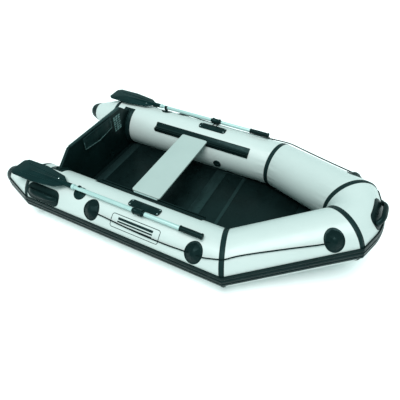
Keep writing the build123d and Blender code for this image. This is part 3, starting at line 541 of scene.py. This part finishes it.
def nose_skin(seed):
    """The nose: straight from each seam, and round the front between them."""
    rows = 2 * NOSE_STRAIGHT_ROWS + NOSE_TURN_ROWS
    points = [None] * (rows * ROUND_POINTS)
    for column in range(ROUND_POINTS):
        angle = 360 * column / ROUND_POINTS
        origin = nose.point(0, angle, TUBE_R)
        start = reach(origin, nose.along, NOSE_PLANE)
        out = nose.direction(angle)
        for row in range(NOSE_STRAIGHT_ROWS):
            travel = start + (NOSE_STRAIGHT - start) * row / NOSE_STRAIGHT_ROWS
            lift = pucker(seed, angle, travel - start) + lap(angle)
            point = origin + nose.along * travel + out * lift
            points[row * ROUND_POINTS + column] = point
            other = (rows - 1 - row) * ROUND_POINTS + column
            points[other] = Vector((point.x, -point.y, point.z))
        corner = nose.point(NOSE_STRAIGHT, angle, TUBE_R + lap(angle))
        for row in range(NOSE_TURN_ROWS):
            turned_by = radians(-2 * NOSE_TURN * row / (NOSE_TURN_ROWS - 1))
            turn = Matrix.Rotation(turned_by, 3, "Z")
            points[(NOSE_STRAIGHT_ROWS + row) * ROUND_POINTS + column] = (
                nose_bend + turn @ (corner - nose_bend)
            )
    return points, grid_faces(rows, ROUND_POINTS, closed=True)


def cone_skin(seed):
    """The tapered stern end: a cone that runs into a ball."""
    run = CONE_SEAM_X - CONE_ROUND_X
    taper = atan2(TUBE_R - CONE_ROUND_R, run)
    ball_r = CONE_ROUND_R / cos(taper)
    ball_x = ball_r * sin(taper) - run
    profile = []
    for row in range(CONE_ROWS):
        share = row / CONE_ROWS
        profile.append((-run * share, TUBE_R + (CONE_ROUND_R - TUBE_R) * share))
    for row in range(BALL_ROWS):
        angle = taper + (pi / 2 - taper) * row / BALL_ROWS
        profile.append((ball_x - ball_r * sin(angle), ball_r * cos(angle)))
    points = []
    for travel, radius in profile:
        for column in range(ROUND_POINTS):
            angle = 360 * column / ROUND_POINTS
            lift = pucker(seed, angle, -travel) * radius / TUBE_R
            centre = side_start + side.along * travel
            points.append(centre + side.direction(angle) * (radius + lift))
    faces = grid_faces(len(profile), ROUND_POINTS, closed=True)
    points.append(side_start + side.along * (ball_x - ball_r))
    tip, last_row = len(points) - 1, (len(profile) - 1) * ROUND_POINTS
    for column in range(ROUND_POINTS):
        faces.append((last_row + column, last_row + (column + 1) % ROUND_POINTS, tip))
    return points, [tuple(reversed(face)) for face in faces]


pair("side_skin", tube_skin(side, CONE_PLANE, BOW_PLANE, 11), "hull_fabric", "side_tube")
pair("bow_skin", tube_skin(bow, BOW_PLANE, NOSE_PLANE, 21), "hull_fabric", "bow_tube")
pair("cone_skin", cone_skin(31), "hull_fabric", "stern_cone")
place_piece(
    "nose_skin", mesh_from("nose_skin", *nose_skin(41)), "hull_fabric", replaces=["nose_tube"]
)


# Grab lines: three-strand rope along the route's own smooth curve

STRANDS, STRAND_DEPTH, STRAND_PITCH = 3, 0.12, 0.045
ROPE_POINTS, ROUTE_RESOLUTION = 24, 24


def smooth_route(points):
    """Points along the NURBS spline whose control points are the route's."""
    curve = bpy.data.curves.new("route", "CURVE")
    curve.dimensions = "3D"
    spline = curve.splines.new("NURBS")
    spline.points.add(len(points) - 1)
    for control, place in zip(spline.points, points):
        control.co = (*place, 1)
    spline.order_u = 3
    spline.use_endpoint_u = True
    spline.resolution_u = ROUTE_RESOLUTION
    holder = bpy.data.objects.new("route", curve)
    scene.collection.objects.link(holder)
    mesh = bpy.data.meshes.new_from_object(holder)
    line = [vertex.co.copy() for vertex in mesh.vertices]
    bpy.data.objects.remove(holder)
    bpy.data.meshes.remove(mesh)
    return line


def rope_shape(line):
    """Three lobes that twist round the line, one turn each pitch."""
    rings, travelled = [], 0.0
    up = Vector((0, 0, 1))
    for index, point in enumerate(line):
        before, after = line[max(0, index - 1)], line[min(len(line) - 1, index + 1)]
        travelled += (point - before).length
        tangent = (after - before).normalized()
        across = tangent.cross(up).normalized()
        normal = across.cross(tangent)
        ring = []
        for angle in full_turn(ROPE_POINTS):
            lobe = cos(STRANDS * (angle - 2 * pi * travelled / STRAND_PITCH))
            radius = LINE_R * (1 - STRAND_DEPTH / 2 + STRAND_DEPTH / 2 * lobe)
            ring.append(point + (across * cos(angle) + normal * sin(angle)) * radius)
        rings.append(ring)
    return closed_sweep(rings)


for side_name, way in (("port", 1), ("starboard", -1)):
    route = [(x, way * y, z) for x, y, z in LINE_ROUTE]
    line = smooth_route(route)
    rope = place_piece(
        f"grab_rope_{side_name}",
        mesh_from("grab_rope", *rope_shape(line)),
        "rope",
        replaces=[f"grab_line_{side_name}"],
        angle=60,
    )


# Line patches: an oval fabric foot and a moulded, faceted hood that the rope runs through

HOOD_EDGE, HOOD_TOP, HOOD_FACETS = 0.86, 0.26, 8
PATCH_FOOT, HOOD_HEIGHT, HOOD_CROWN = 3.2 * MM, 26 * MM, 2 * MM
PATCH_SUNK = 0.5 * MM
HOOD_ROWS, HOOD_POINTS, PATCH_EDGE_SHARE = 34, 96, 0.985


def hood_height(share, turn):
    """Height above the tube at a share of the patch's half size, in a direction in radians."""
    sector = 2 * pi / HOOD_FACETS
    off_middle = (turn % sector) - sector / 2
    flat = share * cos(off_middle) / cos(sector / 2)
    climb = min(1.0, max(0.0, (HOOD_EDGE - flat) / (HOOD_EDGE - HOOD_TOP)))
    top = HOOD_CROWN * cos(min(1.0, share / HOOD_TOP) * pi / 2)
    return PATCH_FOOT + (HOOD_HEIGHT - PATCH_FOOT) * climb + top


def line_patch(run, distance, eye_angle):
    middle = eye_angle + PATCH_LIFT_ANGLE
    shares = [step / HOOD_ROWS for step in range(1, HOOD_ROWS)] + [PATCH_EDGE_SHARE, 1.0, 1.0]
    count = HOOD_POINTS
    points = [run.point(distance, middle, TUBE_R + hood_height(0, 0))]
    for order, share in enumerate(shares):
        for turn in full_turn(count):
            along = share * PATCH_HALF_LENGTH * cos(turn)
            across = share * PATCH_HALF_WIDTH * sin(turn)
            height = hood_height(share, turn)
            if order == len(shares) - 2:
                height = PATCH_FOOT / 2
            if order == len(shares) - 1:
                height = -PATCH_SUNK
            angle = middle + asin(across / TUBE_R) * 180 / pi
            points.append(run.point(distance + along, angle, TUBE_R + height))
    faces = [(0, 1 + step, 1 + (step + 1) % count) for step in range(count)]
    for row in range(len(shares) - 1):
        for step in range(count):
            a, b = 1 + row * count + step, 1 + row * count + (step + 1) % count
            faces.append((a, a + count, b + count, b))
    return points, faces


patches = merged([line_patch(RUNS[run], place, angle) for run, place, angle in PATCHES.values()])
place_piece(
    "line_patch_hoods",
    mesh_from("line_patch_hoods", *both(patches)),
    "black_rubber",
    replaces=["grab_line_patches"],
    angle=14,
)


# Handles: a moulded bridge grip with bosses and bolts

SIDE_HANDLE = (side, 0.186, 34, 0.138)
NOSE_HANDLE = (nose_front, 0.0, 35, 0.114)
GRIP_LIFT, GRIP_HALF_WIDTH, GRIP_HALF_THICK = 0.041, 0.024, 0.0150
GRIP_STEPS, GRIP_POINTS, GRIP_POWER = 60, 28, 5
BRIDGE_RIBS, BRIDGE_RIB_SHARE, BRIDGE_SWELL = 9, 0.03, 0.10
BOSS_R, BOSS_HEIGHT, BOSS_FOOT, BOSS_INSET = 0.024, 0.010, 2 * MM, 0.004
BOLT_R, BOLT_HEIGHT, BOLT_OFFSET = 0.007, 4 * MM, 0.006
DOME_PROFILE = [(1.0, 0.0), (1.0, 0.65), (0.93, 0.93), (0.75, 1.0), (0.02, 1.03)]
DOME_POINTS = 40


def dome(run, distance, angle, foot, radius, height):
    """A round boss or bolt head on a tube, standing on a given foot radius."""
    centre = run.point(distance, angle, foot)
    out, along = run.direction(angle), run.along
    across = out.cross(along)
    rings = []
    for wide, high in DOME_PROFILE:
        rings.append([
            centre + out * (height * high)
            + (along * cos(turn) + across * sin(turn)) * (radius * wide)
            for turn in full_turn(DOME_POINTS)
        ])
    points, faces = closed_sweep(rings)
    return points, [tuple(reversed(face)) for face in faces]


def bridge_grip(run, distance, angle, half):
    """A flat bow over the tube, of a given half length, with finger ribs in its middle."""
    rings = []
    out, along = run.direction(angle), run.along
    across = out.cross(along)
    for step in range(GRIP_STEPS + 1):
        share = 2 * step / GRIP_STEPS - 1
        lift = GRIP_LIFT * (1 - abs(share) ** GRIP_POWER)
        travel = half * (share - 0.1 * sin(pi * share) * abs(share))
        steepness = -GRIP_POWER * GRIP_LIFT * abs(share) ** (GRIP_POWER - 1)
        slope = steepness * (1 if share > 0 else -1)
        tangent = (along * half + out * slope).normalized()
        normal = across.cross(tangent)
        centre = run.point(distance + travel, angle, TUBE_R + lift)
        swell = 1 + BRIDGE_SWELL * cos(pi * share)
        in_middle = 1 - smooth_step(0.45, 0.6, abs(share))
        ribs = 1 + BRIDGE_RIB_SHARE * cos(2 * pi * BRIDGE_RIBS * share) * in_middle
        ring = []
        for turn in full_turn(GRIP_POINTS):
            wide = GRIP_HALF_WIDTH * swell * ribs * cos(turn)
            thick = GRIP_HALF_THICK * ribs * sin(turn)
            ring.append(centre + across * wide - normal * thick)
        rings.append(ring)
    return closed_sweep(rings)


def handle_pieces(run, distance, angle, half):
    grips = [bridge_grip(run, distance, angle, half)]
    bolts = []
    for way in (-1, 1):
        place = distance + way * (half - BOSS_INSET)
        bolt_place = place + way * BOLT_OFFSET
        foot = TUBE_R + BOSS_FOOT
        grips.append(dome(run, place, angle, foot, BOSS_R, BOSS_HEIGHT))
        bolts.append(dome(run, bolt_place, angle, foot + BOSS_HEIGHT, BOLT_R, BOLT_HEIGHT))
    return merged(grips), merged(bolts)


side_grip, side_bolts = handle_pieces(*SIDE_HANDLE)
nose_grip, nose_bolts = handle_pieces(*NOSE_HANDLE)
grips = merged([side_grip, mirrored(*side_grip), nose_grip])
bolts = merged([side_bolts, mirrored(*side_bolts), nose_bolts])
place_piece(
    "handle_bridges", mesh_from("handle_bridges", *grips), "black_rubber",
    replaces=["handle_grips"],
)
place_piece("handle_bolts", mesh_from("handle_bolts", *bolts), "dark_aluminium")


# Flat bars and the print, which follow the tubes' curve

CORNER_STEPS, RIBBON_PARTS = 6, 12
BAR_PARTS, BAR_TOP_SHARE = 10, 0.8


def arc_degrees(width):
    """The angle that a width takes up round the tube."""
    return width / TUBE_R * 180 / pi


def rounded_outline(distance, angle, half_length, half_width, corner):
    """Points round a rounded rectangle; half_width is measured round the tube."""
    points = []
    for quarter, (way, side_way) in enumerate(((1, 1), (-1, 1), (-1, -1), (1, -1))):
        for step in range(CORNER_STEPS + 1):
            turn = pi / 2 * (quarter + step / CORNER_STEPS)
            along = way * (half_length - corner) + corner * cos(turn)
            across = side_way * (half_width - corner) + corner * sin(turn)
            points.append((distance + along, angle + arc_degrees(across)))
    return points


def finer(outline):
    """The same outline with each of its sides cut into short parts."""
    points = []
    following = outline[1:] + outline[:1]
    for (distance, angle), (next_distance, next_angle) in zip(outline, following):
        for part in range(RIBBON_PARTS):
            share = part / RIBBON_PARTS
            points.append((
                distance + (next_distance - distance) * share,
                angle + (next_angle - angle) * share,
            ))
    return points


def ribbon_loop(run, outer, inner, foot, top):
    """A closed stripe between two outlines that have as many points as each other."""
    outer, inner = finer(outer), finer(inner)
    count = len(outer)
    points = []
    for outline, radius in ((outer, foot), (outer, top), (inner, top), (inner, foot)):
        points.extend(run.point(distance, angle, radius) for distance, angle in outline)
    faces = []
    for layer in range(4):
        for step in range(count):
            after = (step + 1) % count
            a, b = layer * count + step, layer * count + after
            c, d = ((layer + 1) % 4) * count + after, ((layer + 1) % 4) * count + step
            faces.append((a, b, c, d))
    return points, faces


def bar(run, distance, angle, half_length, half_width, foot, top):
    """A slab across the tube, in short parts so that it follows the curve."""
    rings = []
    for step in range(BAR_PARTS + 1):
        across = half_width * (2 * step / BAR_PARTS - 1)
        at = angle + arc_degrees(across)
        rings.append([
            run.point(distance - half_length, at, foot),
            run.point(distance + half_length, at, foot),
            run.point(distance + half_length * BAR_TOP_SHARE, at, top),
            run.point(distance - half_length * BAR_TOP_SHARE, at, top),
        ])
    return closed_sweep(rings)


PRINT_FOOT, PRINT_TOP = TUBE_R - 0.3 * MM, TUBE_R + 0.35 * MM
PRINT_DISTANCE, PRINT_ANGLE = 1.080, 41
PRINT_HALF_LENGTH, PRINT_HALF_WIDTH, PRINT_CORNER, PRINT_LINE = 0.215, 0.057, 0.020, 0.0055
# Each stripe: its place across the panel, half length and half width
STRIPES = [(0.026, 0.170, 0.010), (0.002, 0.170, 0.006), (-0.018, 0.170, 0.004)]


def side_print():
    """A plain printed panel: a rounded frame and three stripes."""
    frame_outer = rounded_outline(
        PRINT_DISTANCE, PRINT_ANGLE, PRINT_HALF_LENGTH, PRINT_HALF_WIDTH, PRINT_CORNER
    )
    frame_inner = rounded_outline(
        PRINT_DISTANCE,
        PRINT_ANGLE,
        PRINT_HALF_LENGTH - PRINT_LINE,
        PRINT_HALF_WIDTH - PRINT_LINE,
        PRINT_CORNER - PRINT_LINE,
    )
    shapes = [ribbon_loop(side, frame_outer, frame_inner, PRINT_FOOT, PRINT_TOP)]
    for across, half_length, half_width in STRIPES:
        angle = PRINT_ANGLE + arc_degrees(across)
        shapes.append(
            bar(side, PRINT_DISTANCE, angle, half_length, half_width, PRINT_FOOT, PRINT_TOP)
        )
    return merged(shapes)


pair("side_print", side_print(), "print_ink")


# Rowlock base details: ribs across it, and a screw in each corner

ROWLOCK_X, BASE_ANGLE, BASE_TOP = -0.073, 93, 0.213
RIB_STEP, RIB_FROM, RIB_TO = 0.014, 0.036, 0.112
RIB_HALF_LENGTH, RIB_HALF_WIDTH, RIB_HEIGHT = 3 * MM, 0.029, 2.2 * MM
SCREW_ALONG, SCREW_ACROSS, SCREW_R, SCREW_HEIGHT = 0.122, 0.022, 5 * MM, 1.6 * MM


def rowlock_details():
    shapes, screws = [], []
    place = ROWLOCK_X - CONE_SEAM_X
    count = floor((RIB_TO - RIB_FROM) / RIB_STEP) + 1
    for way in (-1, 1):
        for step in range(count):
            at = place + way * (RIB_FROM + step * RIB_STEP)
            shapes.append(
                bar(
                    side, at, BASE_ANGLE, RIB_HALF_LENGTH, RIB_HALF_WIDTH,
                    BASE_TOP - MM, BASE_TOP + RIB_HEIGHT,
                )
            )
        for across in (-SCREW_ACROSS, SCREW_ACROSS):
            angle = BASE_ANGLE + arc_degrees(across)
            screws.append(
                dome(side, place + way * SCREW_ALONG, angle, BASE_TOP, SCREW_R, SCREW_HEIGHT)
            )
    return merged(shapes), merged(screws)


rowlock_ribs, rowlock_screws = rowlock_details()
pair("rowlock_ribs", rowlock_ribs, "black_plastic")
pair("rowlock_screws", rowlock_screws, "steel")


# Oars: turned grips and cuffs, and ribs and a rivet on each blade

OAR_Y, OAR_Z = 0.684, 0.4405
BORE_R = 0.0168
OAR_POINTS = 48


def turned(profile):
    """A shape turned round the oar's axis from (x, radius) points."""
    return closed_sweep([
        [
            Vector((x, OAR_Y + radius * cos(turn), OAR_Z + radius * sin(turn)))
            for turn in full_turn(OAR_POINTS)
        ]
        for x, radius in profile
    ])


GRIP_START, GRIP_END, GRIP_R = 0.280, 0.465, 0.021
GRIP_RIB_PITCH, GRIP_RIB_DEPTH, GRIP_RING = 0.0105, 0.0011, 0.014
GRIP_COLLAR, GRIP_COLLAR_LIFT, GRIP_RING_LIFT, GRIP_SWELL = 0.008, 0.002, 0.0030, 0.0012
GRIP_ROWS = 150


def oar_grip():
    """A ribbed cover with a collar at its start and a ring at its end."""
    collar_r, ring_r = GRIP_R + GRIP_COLLAR_LIFT, GRIP_R + GRIP_RING_LIFT
    profile = [
        (GRIP_START, BORE_R),
        (GRIP_START, collar_r),
        (GRIP_START + GRIP_COLLAR, collar_r),
    ]
    steps = GRIP_ROWS
    ribs_end = GRIP_END - GRIP_RING
    for step in range(steps + 1):
        x = GRIP_START + 0.010 + (ribs_end - GRIP_START - 0.012) * step / steps
        wave = 0.5 - 0.5 * cos(2 * pi * (x - GRIP_START) / GRIP_RIB_PITCH)
        swell = GRIP_SWELL * sin(pi * step / steps)
        profile.append((x, GRIP_R + swell - GRIP_RIB_DEPTH * wave ** 3))
    profile += [
        (ribs_end, ring_r),
        (GRIP_END - 0.005, ring_r),
        (GRIP_END - 0.002, GRIP_R + 0.0015),
        (GRIP_END, GRIP_R - 0.003),
        (GRIP_END + 0.0015, 0.004),
    ]
    return turned(profile)


pair("grip_cover", oar_grip(), "black_rubber", replaces="oar_grip", body="oar", angle=30)

COLLAR_END, CUFF_LENGTH, CUFF_R, CUFF_BORE_R = 0.0365, 0.018, 0.0200, 0.0166


def cuffs():
    """A short tapered cuff on the shaft at each side of the oar's collar."""
    shapes = []
    for way in (-1, 1):
        start = ROWLOCK_X + way * COLLAR_END
        profile = [
            (start, CUFF_BORE_R),
            (start, CUFF_R),
            (start + way * 0.55 * CUFF_LENGTH, CUFF_R),
            (start + way * 0.9 * CUFF_LENGTH, CUFF_R - 0.002),
            (start + way * CUFF_LENGTH, BORE_R),
        ]
        points, faces = turned(profile)
        if way < 0:
            faces = [tuple(reversed(face)) for face in faces]
        shapes.append((points, faces))
    return merged(shapes)


pair("oar_cuffs", cuffs(), "black_plastic", body="oar")

BLADE_HALF_THICK = 0.003
BLADE_RIBS = [((-0.810, 0.026), (-1.235, 0.064)), ((-0.810, -0.026), (-1.235, -0.064))]
BLADE_RIB_HALF_WIDTH, BLADE_RIB_SUNK, BLADE_RIB_HEIGHT = 0.0045, 0.0005, 0.0018
# Along a rib: the share of its length, of its width, and whether it stands at full height
RIB_PROFILE = [(0, 0.3, False), (0.06, 1, True), (0.94, 1, True), (1, 0.3, False)]
RIVET_X, RIVET_Y, RIVET_POINTS = -0.862, -0.024, 32
RIVET_PROFILE = [(6, 2.5), (6, 3.6), (4.5, 4.6), (2.5, 5.2), (0.3, 5.4)]


def flat_bar(start, end, half_width, foot, top):
    """A tapered rib on the blade between two (x, offset) points."""
    start, end = Vector(start), Vector(end)
    along = (end - start).normalized()
    across = Vector((-along.y, along.x)) * half_width
    rings = []
    for share, wide, full in RIB_PROFILE:
        centre = start.lerp(end, share)
        height = top if full else foot
        ring = []
        for way, level in ((1, foot), (0.45, height), (-0.45, height), (-1, foot)):
            spot = centre + across * (wide * way)
            ring.append(Vector((spot.x, OAR_Y + spot.y, OAR_Z + level)))
        rings.append(ring)
    return closed_sweep(rings)


def blade_ribs():
    shapes = []
    for start, end in BLADE_RIBS:
        for way in (1, -1):
            foot = way * (BLADE_HALF_THICK - BLADE_RIB_SUNK)
            top = way * (BLADE_HALF_THICK + BLADE_RIB_HEIGHT)
            shapes.append(flat_bar(start, end, BLADE_RIB_HALF_WIDTH, foot, top))
    return merged(shapes)


pair("blade_ribs", blade_ribs(), "blade_plastic", body="oar")


def rivet():
    """A rivet head, from (radius, height) points in millimetres."""
    centre = Vector((RIVET_X, OAR_Y + RIVET_Y, OAR_Z))
    rings = []
    for radius, height in RIVET_PROFILE:
        rings.append([
            centre + Vector((radius * cos(turn), radius * sin(turn), height)) * MM
            for turn in full_turn(RIVET_POINTS)
        ])
    return closed_sweep(rings)


pair("blade_rivet", rivet(), "steel", body="oar")


# Transom: a printed grid on the rating plate, and a light rim under the inner pad

PLATE_X, PLATE_Y, PLATE_Z = -0.979, (0.2425, 0.3575), (0.299, 0.469)
PLATE_ROWS, PLATE_COLUMNS, CELL_GAP = 7, 3, 0.005
CELL_SUNK, CELL_HEIGHT = 0.2 * MM, 0.4 * MM
CELL_WIDTH_SHARES, CELL_HEIGHT_SHARES = (0.6, 1.0), (0.55, 0.95)
PAD_FACE_X, RIM_R, RIM_POINTS = -0.970, 1.6 * MM, 12
PAD_RIM = [(-0.198, 0.462), (-0.198, 0.387), (0.0, 0.3645), (0.198, 0.387), (0.198, 0.462)]


def cuboid(low, high):
    (x0, y0, z0), (x1, y1, z1) = low, high
    corners = [(x, y, z) for x in (x0, x1) for y in (y0, y1) for z in (z0, z1)]
    faces = [(0, 1, 3, 2), (4, 6, 7, 5), (0, 4, 5, 1), (2, 3, 7, 6), (0, 2, 6, 4), (1, 5, 7, 3)]
    return [Vector(corner) for corner in corners], faces


def plate_cells():
    """Plain cells of uneven size in place of the plate's print."""
    chance = random.Random(5)
    row_height = (PLATE_Z[1] - PLATE_Z[0] - CELL_GAP) / PLATE_ROWS
    column_width = (PLATE_Y[1] - PLATE_Y[0] - CELL_GAP) / PLATE_COLUMNS
    shapes = []
    for row in range(PLATE_ROWS):
        for column in range(PLATE_COLUMNS):
            low_y = PLATE_Y[0] + CELL_GAP + column * column_width
            width = (column_width - CELL_GAP) * chance.uniform(*CELL_WIDTH_SHARES)
            low_z = PLATE_Z[0] + CELL_GAP + row * row_height
            height = (row_height - CELL_GAP) * chance.uniform(*CELL_HEIGHT_SHARES)
            shapes.append(
                cuboid(
                    (PLATE_X - CELL_SUNK, low_y, low_z),
                    (PLATE_X + CELL_HEIGHT, low_y + width, low_z + height),
                )
            )
    return merged(shapes)


place_piece("plate_cells", mesh_from("plate_cells", *plate_cells()), "plate_print")


def rod_path(places, radius):
    """A round bead through the given places."""
    rings = []
    for index, place in enumerate(places):
        before = places[max(0, index - 1)]
        after = places[min(len(places) - 1, index + 1)]
        tangent = (after - before).normalized()
        out = Vector((1, 0, 0))
        across = out.cross(tangent)
        rings.append([
            place + (out * cos(turn) + across * sin(turn)) * radius
            for turn in full_turn(RIM_POINTS)
        ])
    return closed_sweep(rings)


rim_line = [Vector((PAD_FACE_X, y, z)) for y, z in PAD_RIM]
place_piece(
    "pad_rim", mesh_from("pad_rim", *rod_path(rim_line, RIM_R)), "plate_print", angle=60
)


# Bottom: a stretched fabric sheet, and the keel chamber inside it

BOTTOM_Z, BOTTOM_HALF_WIDTH = 0.005, 0.577
BOTTOM_START_X, BOTTOM_END_X, BOTTOM_END_HALF_WIDTH = -1.003, 1.290, 0.176
BOW_SLOPE = NOSE_RISE / (NOSE_X - BOW_SEAM_X)
BOTTOM_ROWS, BOTTOM_COLUMNS, BOTTOM_RIPPLE = 230, 96, 0.8 * MM
BOTTOM_EDGE, BOTTOM_RIPPLE_PITCH = 0.05, 0.035
KEEL_HALF_WIDTH, KEEL_HALF_HEIGHT, KEEL_Z = 0.090, 0.014, 0.0207
KEEL_START_X, KEEL_END_X, KEEL_PINCH = -0.600, 1.050, 0.05
KEEL_ROWS, KEEL_POINTS = 150, 56
KEEL_INSET, KEEL_END_WIDTH, KEEL_END_HEIGHT = 0.0006, 0.8, 0.06
WELD_RIPPLE, WELD_PITCH = 0.0008, 0.03


def slope_at(x):
    """How far the bow's rise has lifted the bottom at x."""
    return max(0.0, x - BOW_SEAM_X) * BOW_SLOPE


def bottom_sheet():
    """The fabric between the tubes, rippled at its edges and a little slack in the middle."""
    points = []
    for row in range(BOTTOM_ROWS):
        x = BOTTOM_START_X + (BOTTOM_END_X - BOTTOM_START_X) * row / (BOTTOM_ROWS - 1)
        taper = max(0.0, (x - BOW_SEAM_X) / (BOTTOM_END_X - BOW_SEAM_X))
        half_width = BOTTOM_HALF_WIDTH + (BOTTOM_END_HALF_WIDTH - BOTTOM_HALF_WIDTH) * taper
        for column in range(BOTTOM_COLUMNS):
            share = 2 * column / (BOTTOM_COLUMNS - 1) - 1
            edge = exp(-(1 - abs(share)) * half_width / BOTTOM_EDGE)
            wander = 2.1 * sin(9 * x)
            ripple = BOTTOM_RIPPLE * edge * sin(2 * pi * x / BOTTOM_RIPPLE_PITCH + wander)
            sag = BOTTOM_RIPPLE * (cos(2 * pi * share * 1.5) + cos(7 * x))
            height = BOTTOM_Z + slope_at(x) + ripple + sag * 0.5
            points.append(Vector((x, share * half_width, height)))
    return points, grid_faces(BOTTOM_ROWS, BOTTOM_COLUMNS, closed=False)


bottom = place_piece(
    "bottom_sheet",
    mesh_from("bottom_sheet", *bottom_sheet()),
    "dark_fabric",
    replaces=["bottom_fabric"],
)


def keel_skin():
    """The flat keel chamber, pinched at its ends and along its two welds."""
    rings = []
    for row in range(KEEL_ROWS):
        share = row / (KEEL_ROWS - 1)
        x = KEEL_START_X + (KEEL_END_X - KEEL_START_X) * share
        end = min(share, 1 - share) * (KEEL_END_X - KEEL_START_X)
        full = (1 - (1 - min(1.0, end / KEEL_PINCH)) ** 2) ** 0.5
        wide = KEEL_END_WIDTH + (1 - KEEL_END_WIDTH) * full
        high = (KEEL_HALF_HEIGHT - KEEL_INSET) * max(KEEL_END_HEIGHT, full)
        ring = []
        for turn in full_turn(KEEL_POINTS):
            weld = WELD_RIPPLE * cos(2 * pi * x / WELD_PITCH) * abs(cos(turn)) ** 6
            y = KEEL_HALF_WIDTH * cos(turn) * wide
            z = high * sin(turn) + weld * full
            ring.append(Vector((x, y, KEEL_Z + slope_at(x) + z)))
        rings.append(ring)
    return closed_sweep(rings)


keel = place_piece(
    "keel_chamber",
    mesh_from("keel_chamber", *keel_skin()),
    "dark_fabric",
    replaces=["keel_tube"],
)


# CAD shapes with softened edges, and those that are shown as they are

SOFT_SEGMENTS, SHARP_ANGLE = 2, 30
WELD_DISTANCE, FLAT_ANGLE = 0.01 * MM, 0.4


def softened(node, width, material):
    """A copy of a CAD node's mesh with its sharp edges rounded, which then stands for it."""
    source = frame["nodes"][node]
    shape = bmesh.new()
    shape.from_mesh(source.data)
    bmesh.ops.remove_doubles(shape, verts=shape.verts, dist=WELD_DISTANCE)
    bmesh.ops.dissolve_limit(
        shape, angle_limit=radians(FLAT_ANGLE), verts=shape.verts, edges=shape.edges
    )
    sharp = [
        edge for edge in shape.edges
        if len(edge.link_faces) == 2 and edge.calc_face_angle(0) > radians(SHARP_ANGLE)
    ]
    if width:
        bmesh.ops.bevel(
            shape, geom=sharp, offset=width * MM, segments=SOFT_SEGMENTS, profile=0.5,
            affect="EDGES", clamp_overlap=True,
        )
    bmesh.ops.triangulate(shape, faces=[face for face in shape.faces if len(face.verts) > 4])
    mesh = bpy.data.meshes.new(node + "_finished")
    shape.to_mesh(mesh)
    shape.free()
    place_piece(
        node + "_finished", mesh, material, body=source["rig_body"], replaces=[node],
        angle=SHARP_ANGLE,
    )


def names(stem):
    return [f"{stem}_port", f"{stem}_starboard"]


# Groups of CAD nodes, with the width of their rounding in millimetres and their material
SOFTENED = {
    ("seat_board",): (3.0, "seat_paint"),
    ("floor_board_stern", "floor_board_main", "floor_board_fore", "floor_board_bow"):
        (1.2, "floor_board"),
    ("floor_joiners", "floor_stringers"): (0.8, "dark_aluminium"),
    ("transom_board",): (3.0, "transom_board"),
    ("transom_pad_inner", "transom_pad_outer"): (1.5, "pad_plastic"),
    ("transom_edge_cap",): (1.2, "dark_aluminium"),
    ("transom_holders",): (1.0, "dark_fabric"),
    ("handle_plates",): (1.5, "black_rubber"),
    ("oar_clips",): (0.8, "black_plastic"),
    ("valve_bodies", "valve_cap_bow", *names("valve_cap")): (0.8, "black_plastic"),
    ("drain_body", "drain_plug"): (0.8, "black_plastic"),
    ("safety_eyelet", "tilt_pins"): (0.6, "dark_aluminium"),
    ("pad_screws",): (0.5, "dark_aluminium"),
    tuple(names("rowlock_base") + names("rowlock_cradle") + names("oar_collar")):
        (1.0, "black_plastic"),
    tuple(names("oar_blade")): (1.2, "blade_plastic"),
    tuple(names("oar_ferrule") + names("oar_shaft")): (0.5, "aluminium"),
    tuple(names("seat_rail")): (0.8, "black_rubber"),
    ("seat_sliders",): (0.4, "aluminium"),
    tuple(names("rub_rail") + ["rub_rail_nose"]): (0, "black_rubber"),
    ("cone_tip_caps",): (0.8, "black_rubber"),
    ("seam_bands",): (0.5, "dark_fabric"),
}
for group, (width, material) in SOFTENED.items():
    for node in group:
        softened(node, width, material)

CARRIED = {
    "chamber_baffles": "hull_fabric",
    "rating_plate": "pad_plastic",
}
for node, material in CARRIED.items():
    piece = frame["nodes"][node]
    piece.data.materials.clear()
    piece.data.materials.append(MATERIALS[material])


# Floor, key light and world

FLOOR_SIZE, FLOOR_COLOR, FLOOR_ROUGHNESS = 60, (0.94, 0.94, 0.94, 1), 0.9
KEY_FROM, KEY_ANGLE, KEY_STRENGTH = (0.06, -0.36, 0.90), 35, 2.9
WORLD_COLOR, WORLD_STRENGTH = (0.66, 1.0, 0.975), 0.80


def make_stage():
    half = FLOOR_SIZE / 2
    corners = [(-half, -half, 0), (half, -half, 0), (half, half, 0), (-half, half, 0)]
    mesh = mesh_from("studio_floor", corners, [(0, 1, 2, 3)])
    ground = bpy.data.objects.new("studio_floor", mesh)
    scene.collection.objects.link(ground)
    material = bpy.data.materials.new("studio_floor")
    _, shader = nodes_of(material)
    shader.inputs["Base Color"].default_value = FLOOR_COLOR
    shader.inputs["Roughness"].default_value = FLOOR_ROUGHNESS
    ground.data.materials.append(material)
    lamp = bpy.data.lights.new("key", "SUN")
    lamp.angle = radians(KEY_ANGLE)
    lamp.energy = KEY_STRENGTH
    holder = bpy.data.objects.new("key", lamp)
    scene.collection.objects.link(holder)
    holder.location = KEY_FROM
    holder.rotation_mode = "QUATERNION"
    holder.rotation_quaternion = (-Vector(KEY_FROM)).to_track_quat("-Z", "Y")
    world = bpy.data.worlds.new("studio")
    world.use_nodes = True
    background = world.node_tree.nodes["Background"]
    background.inputs["Color"].default_value = (*WORLD_COLOR, 1)
    background.inputs["Strength"].default_value = WORLD_STRENGTH
    scene.world = world
    scene.view_settings.view_transform = "Standard"


make_stage()
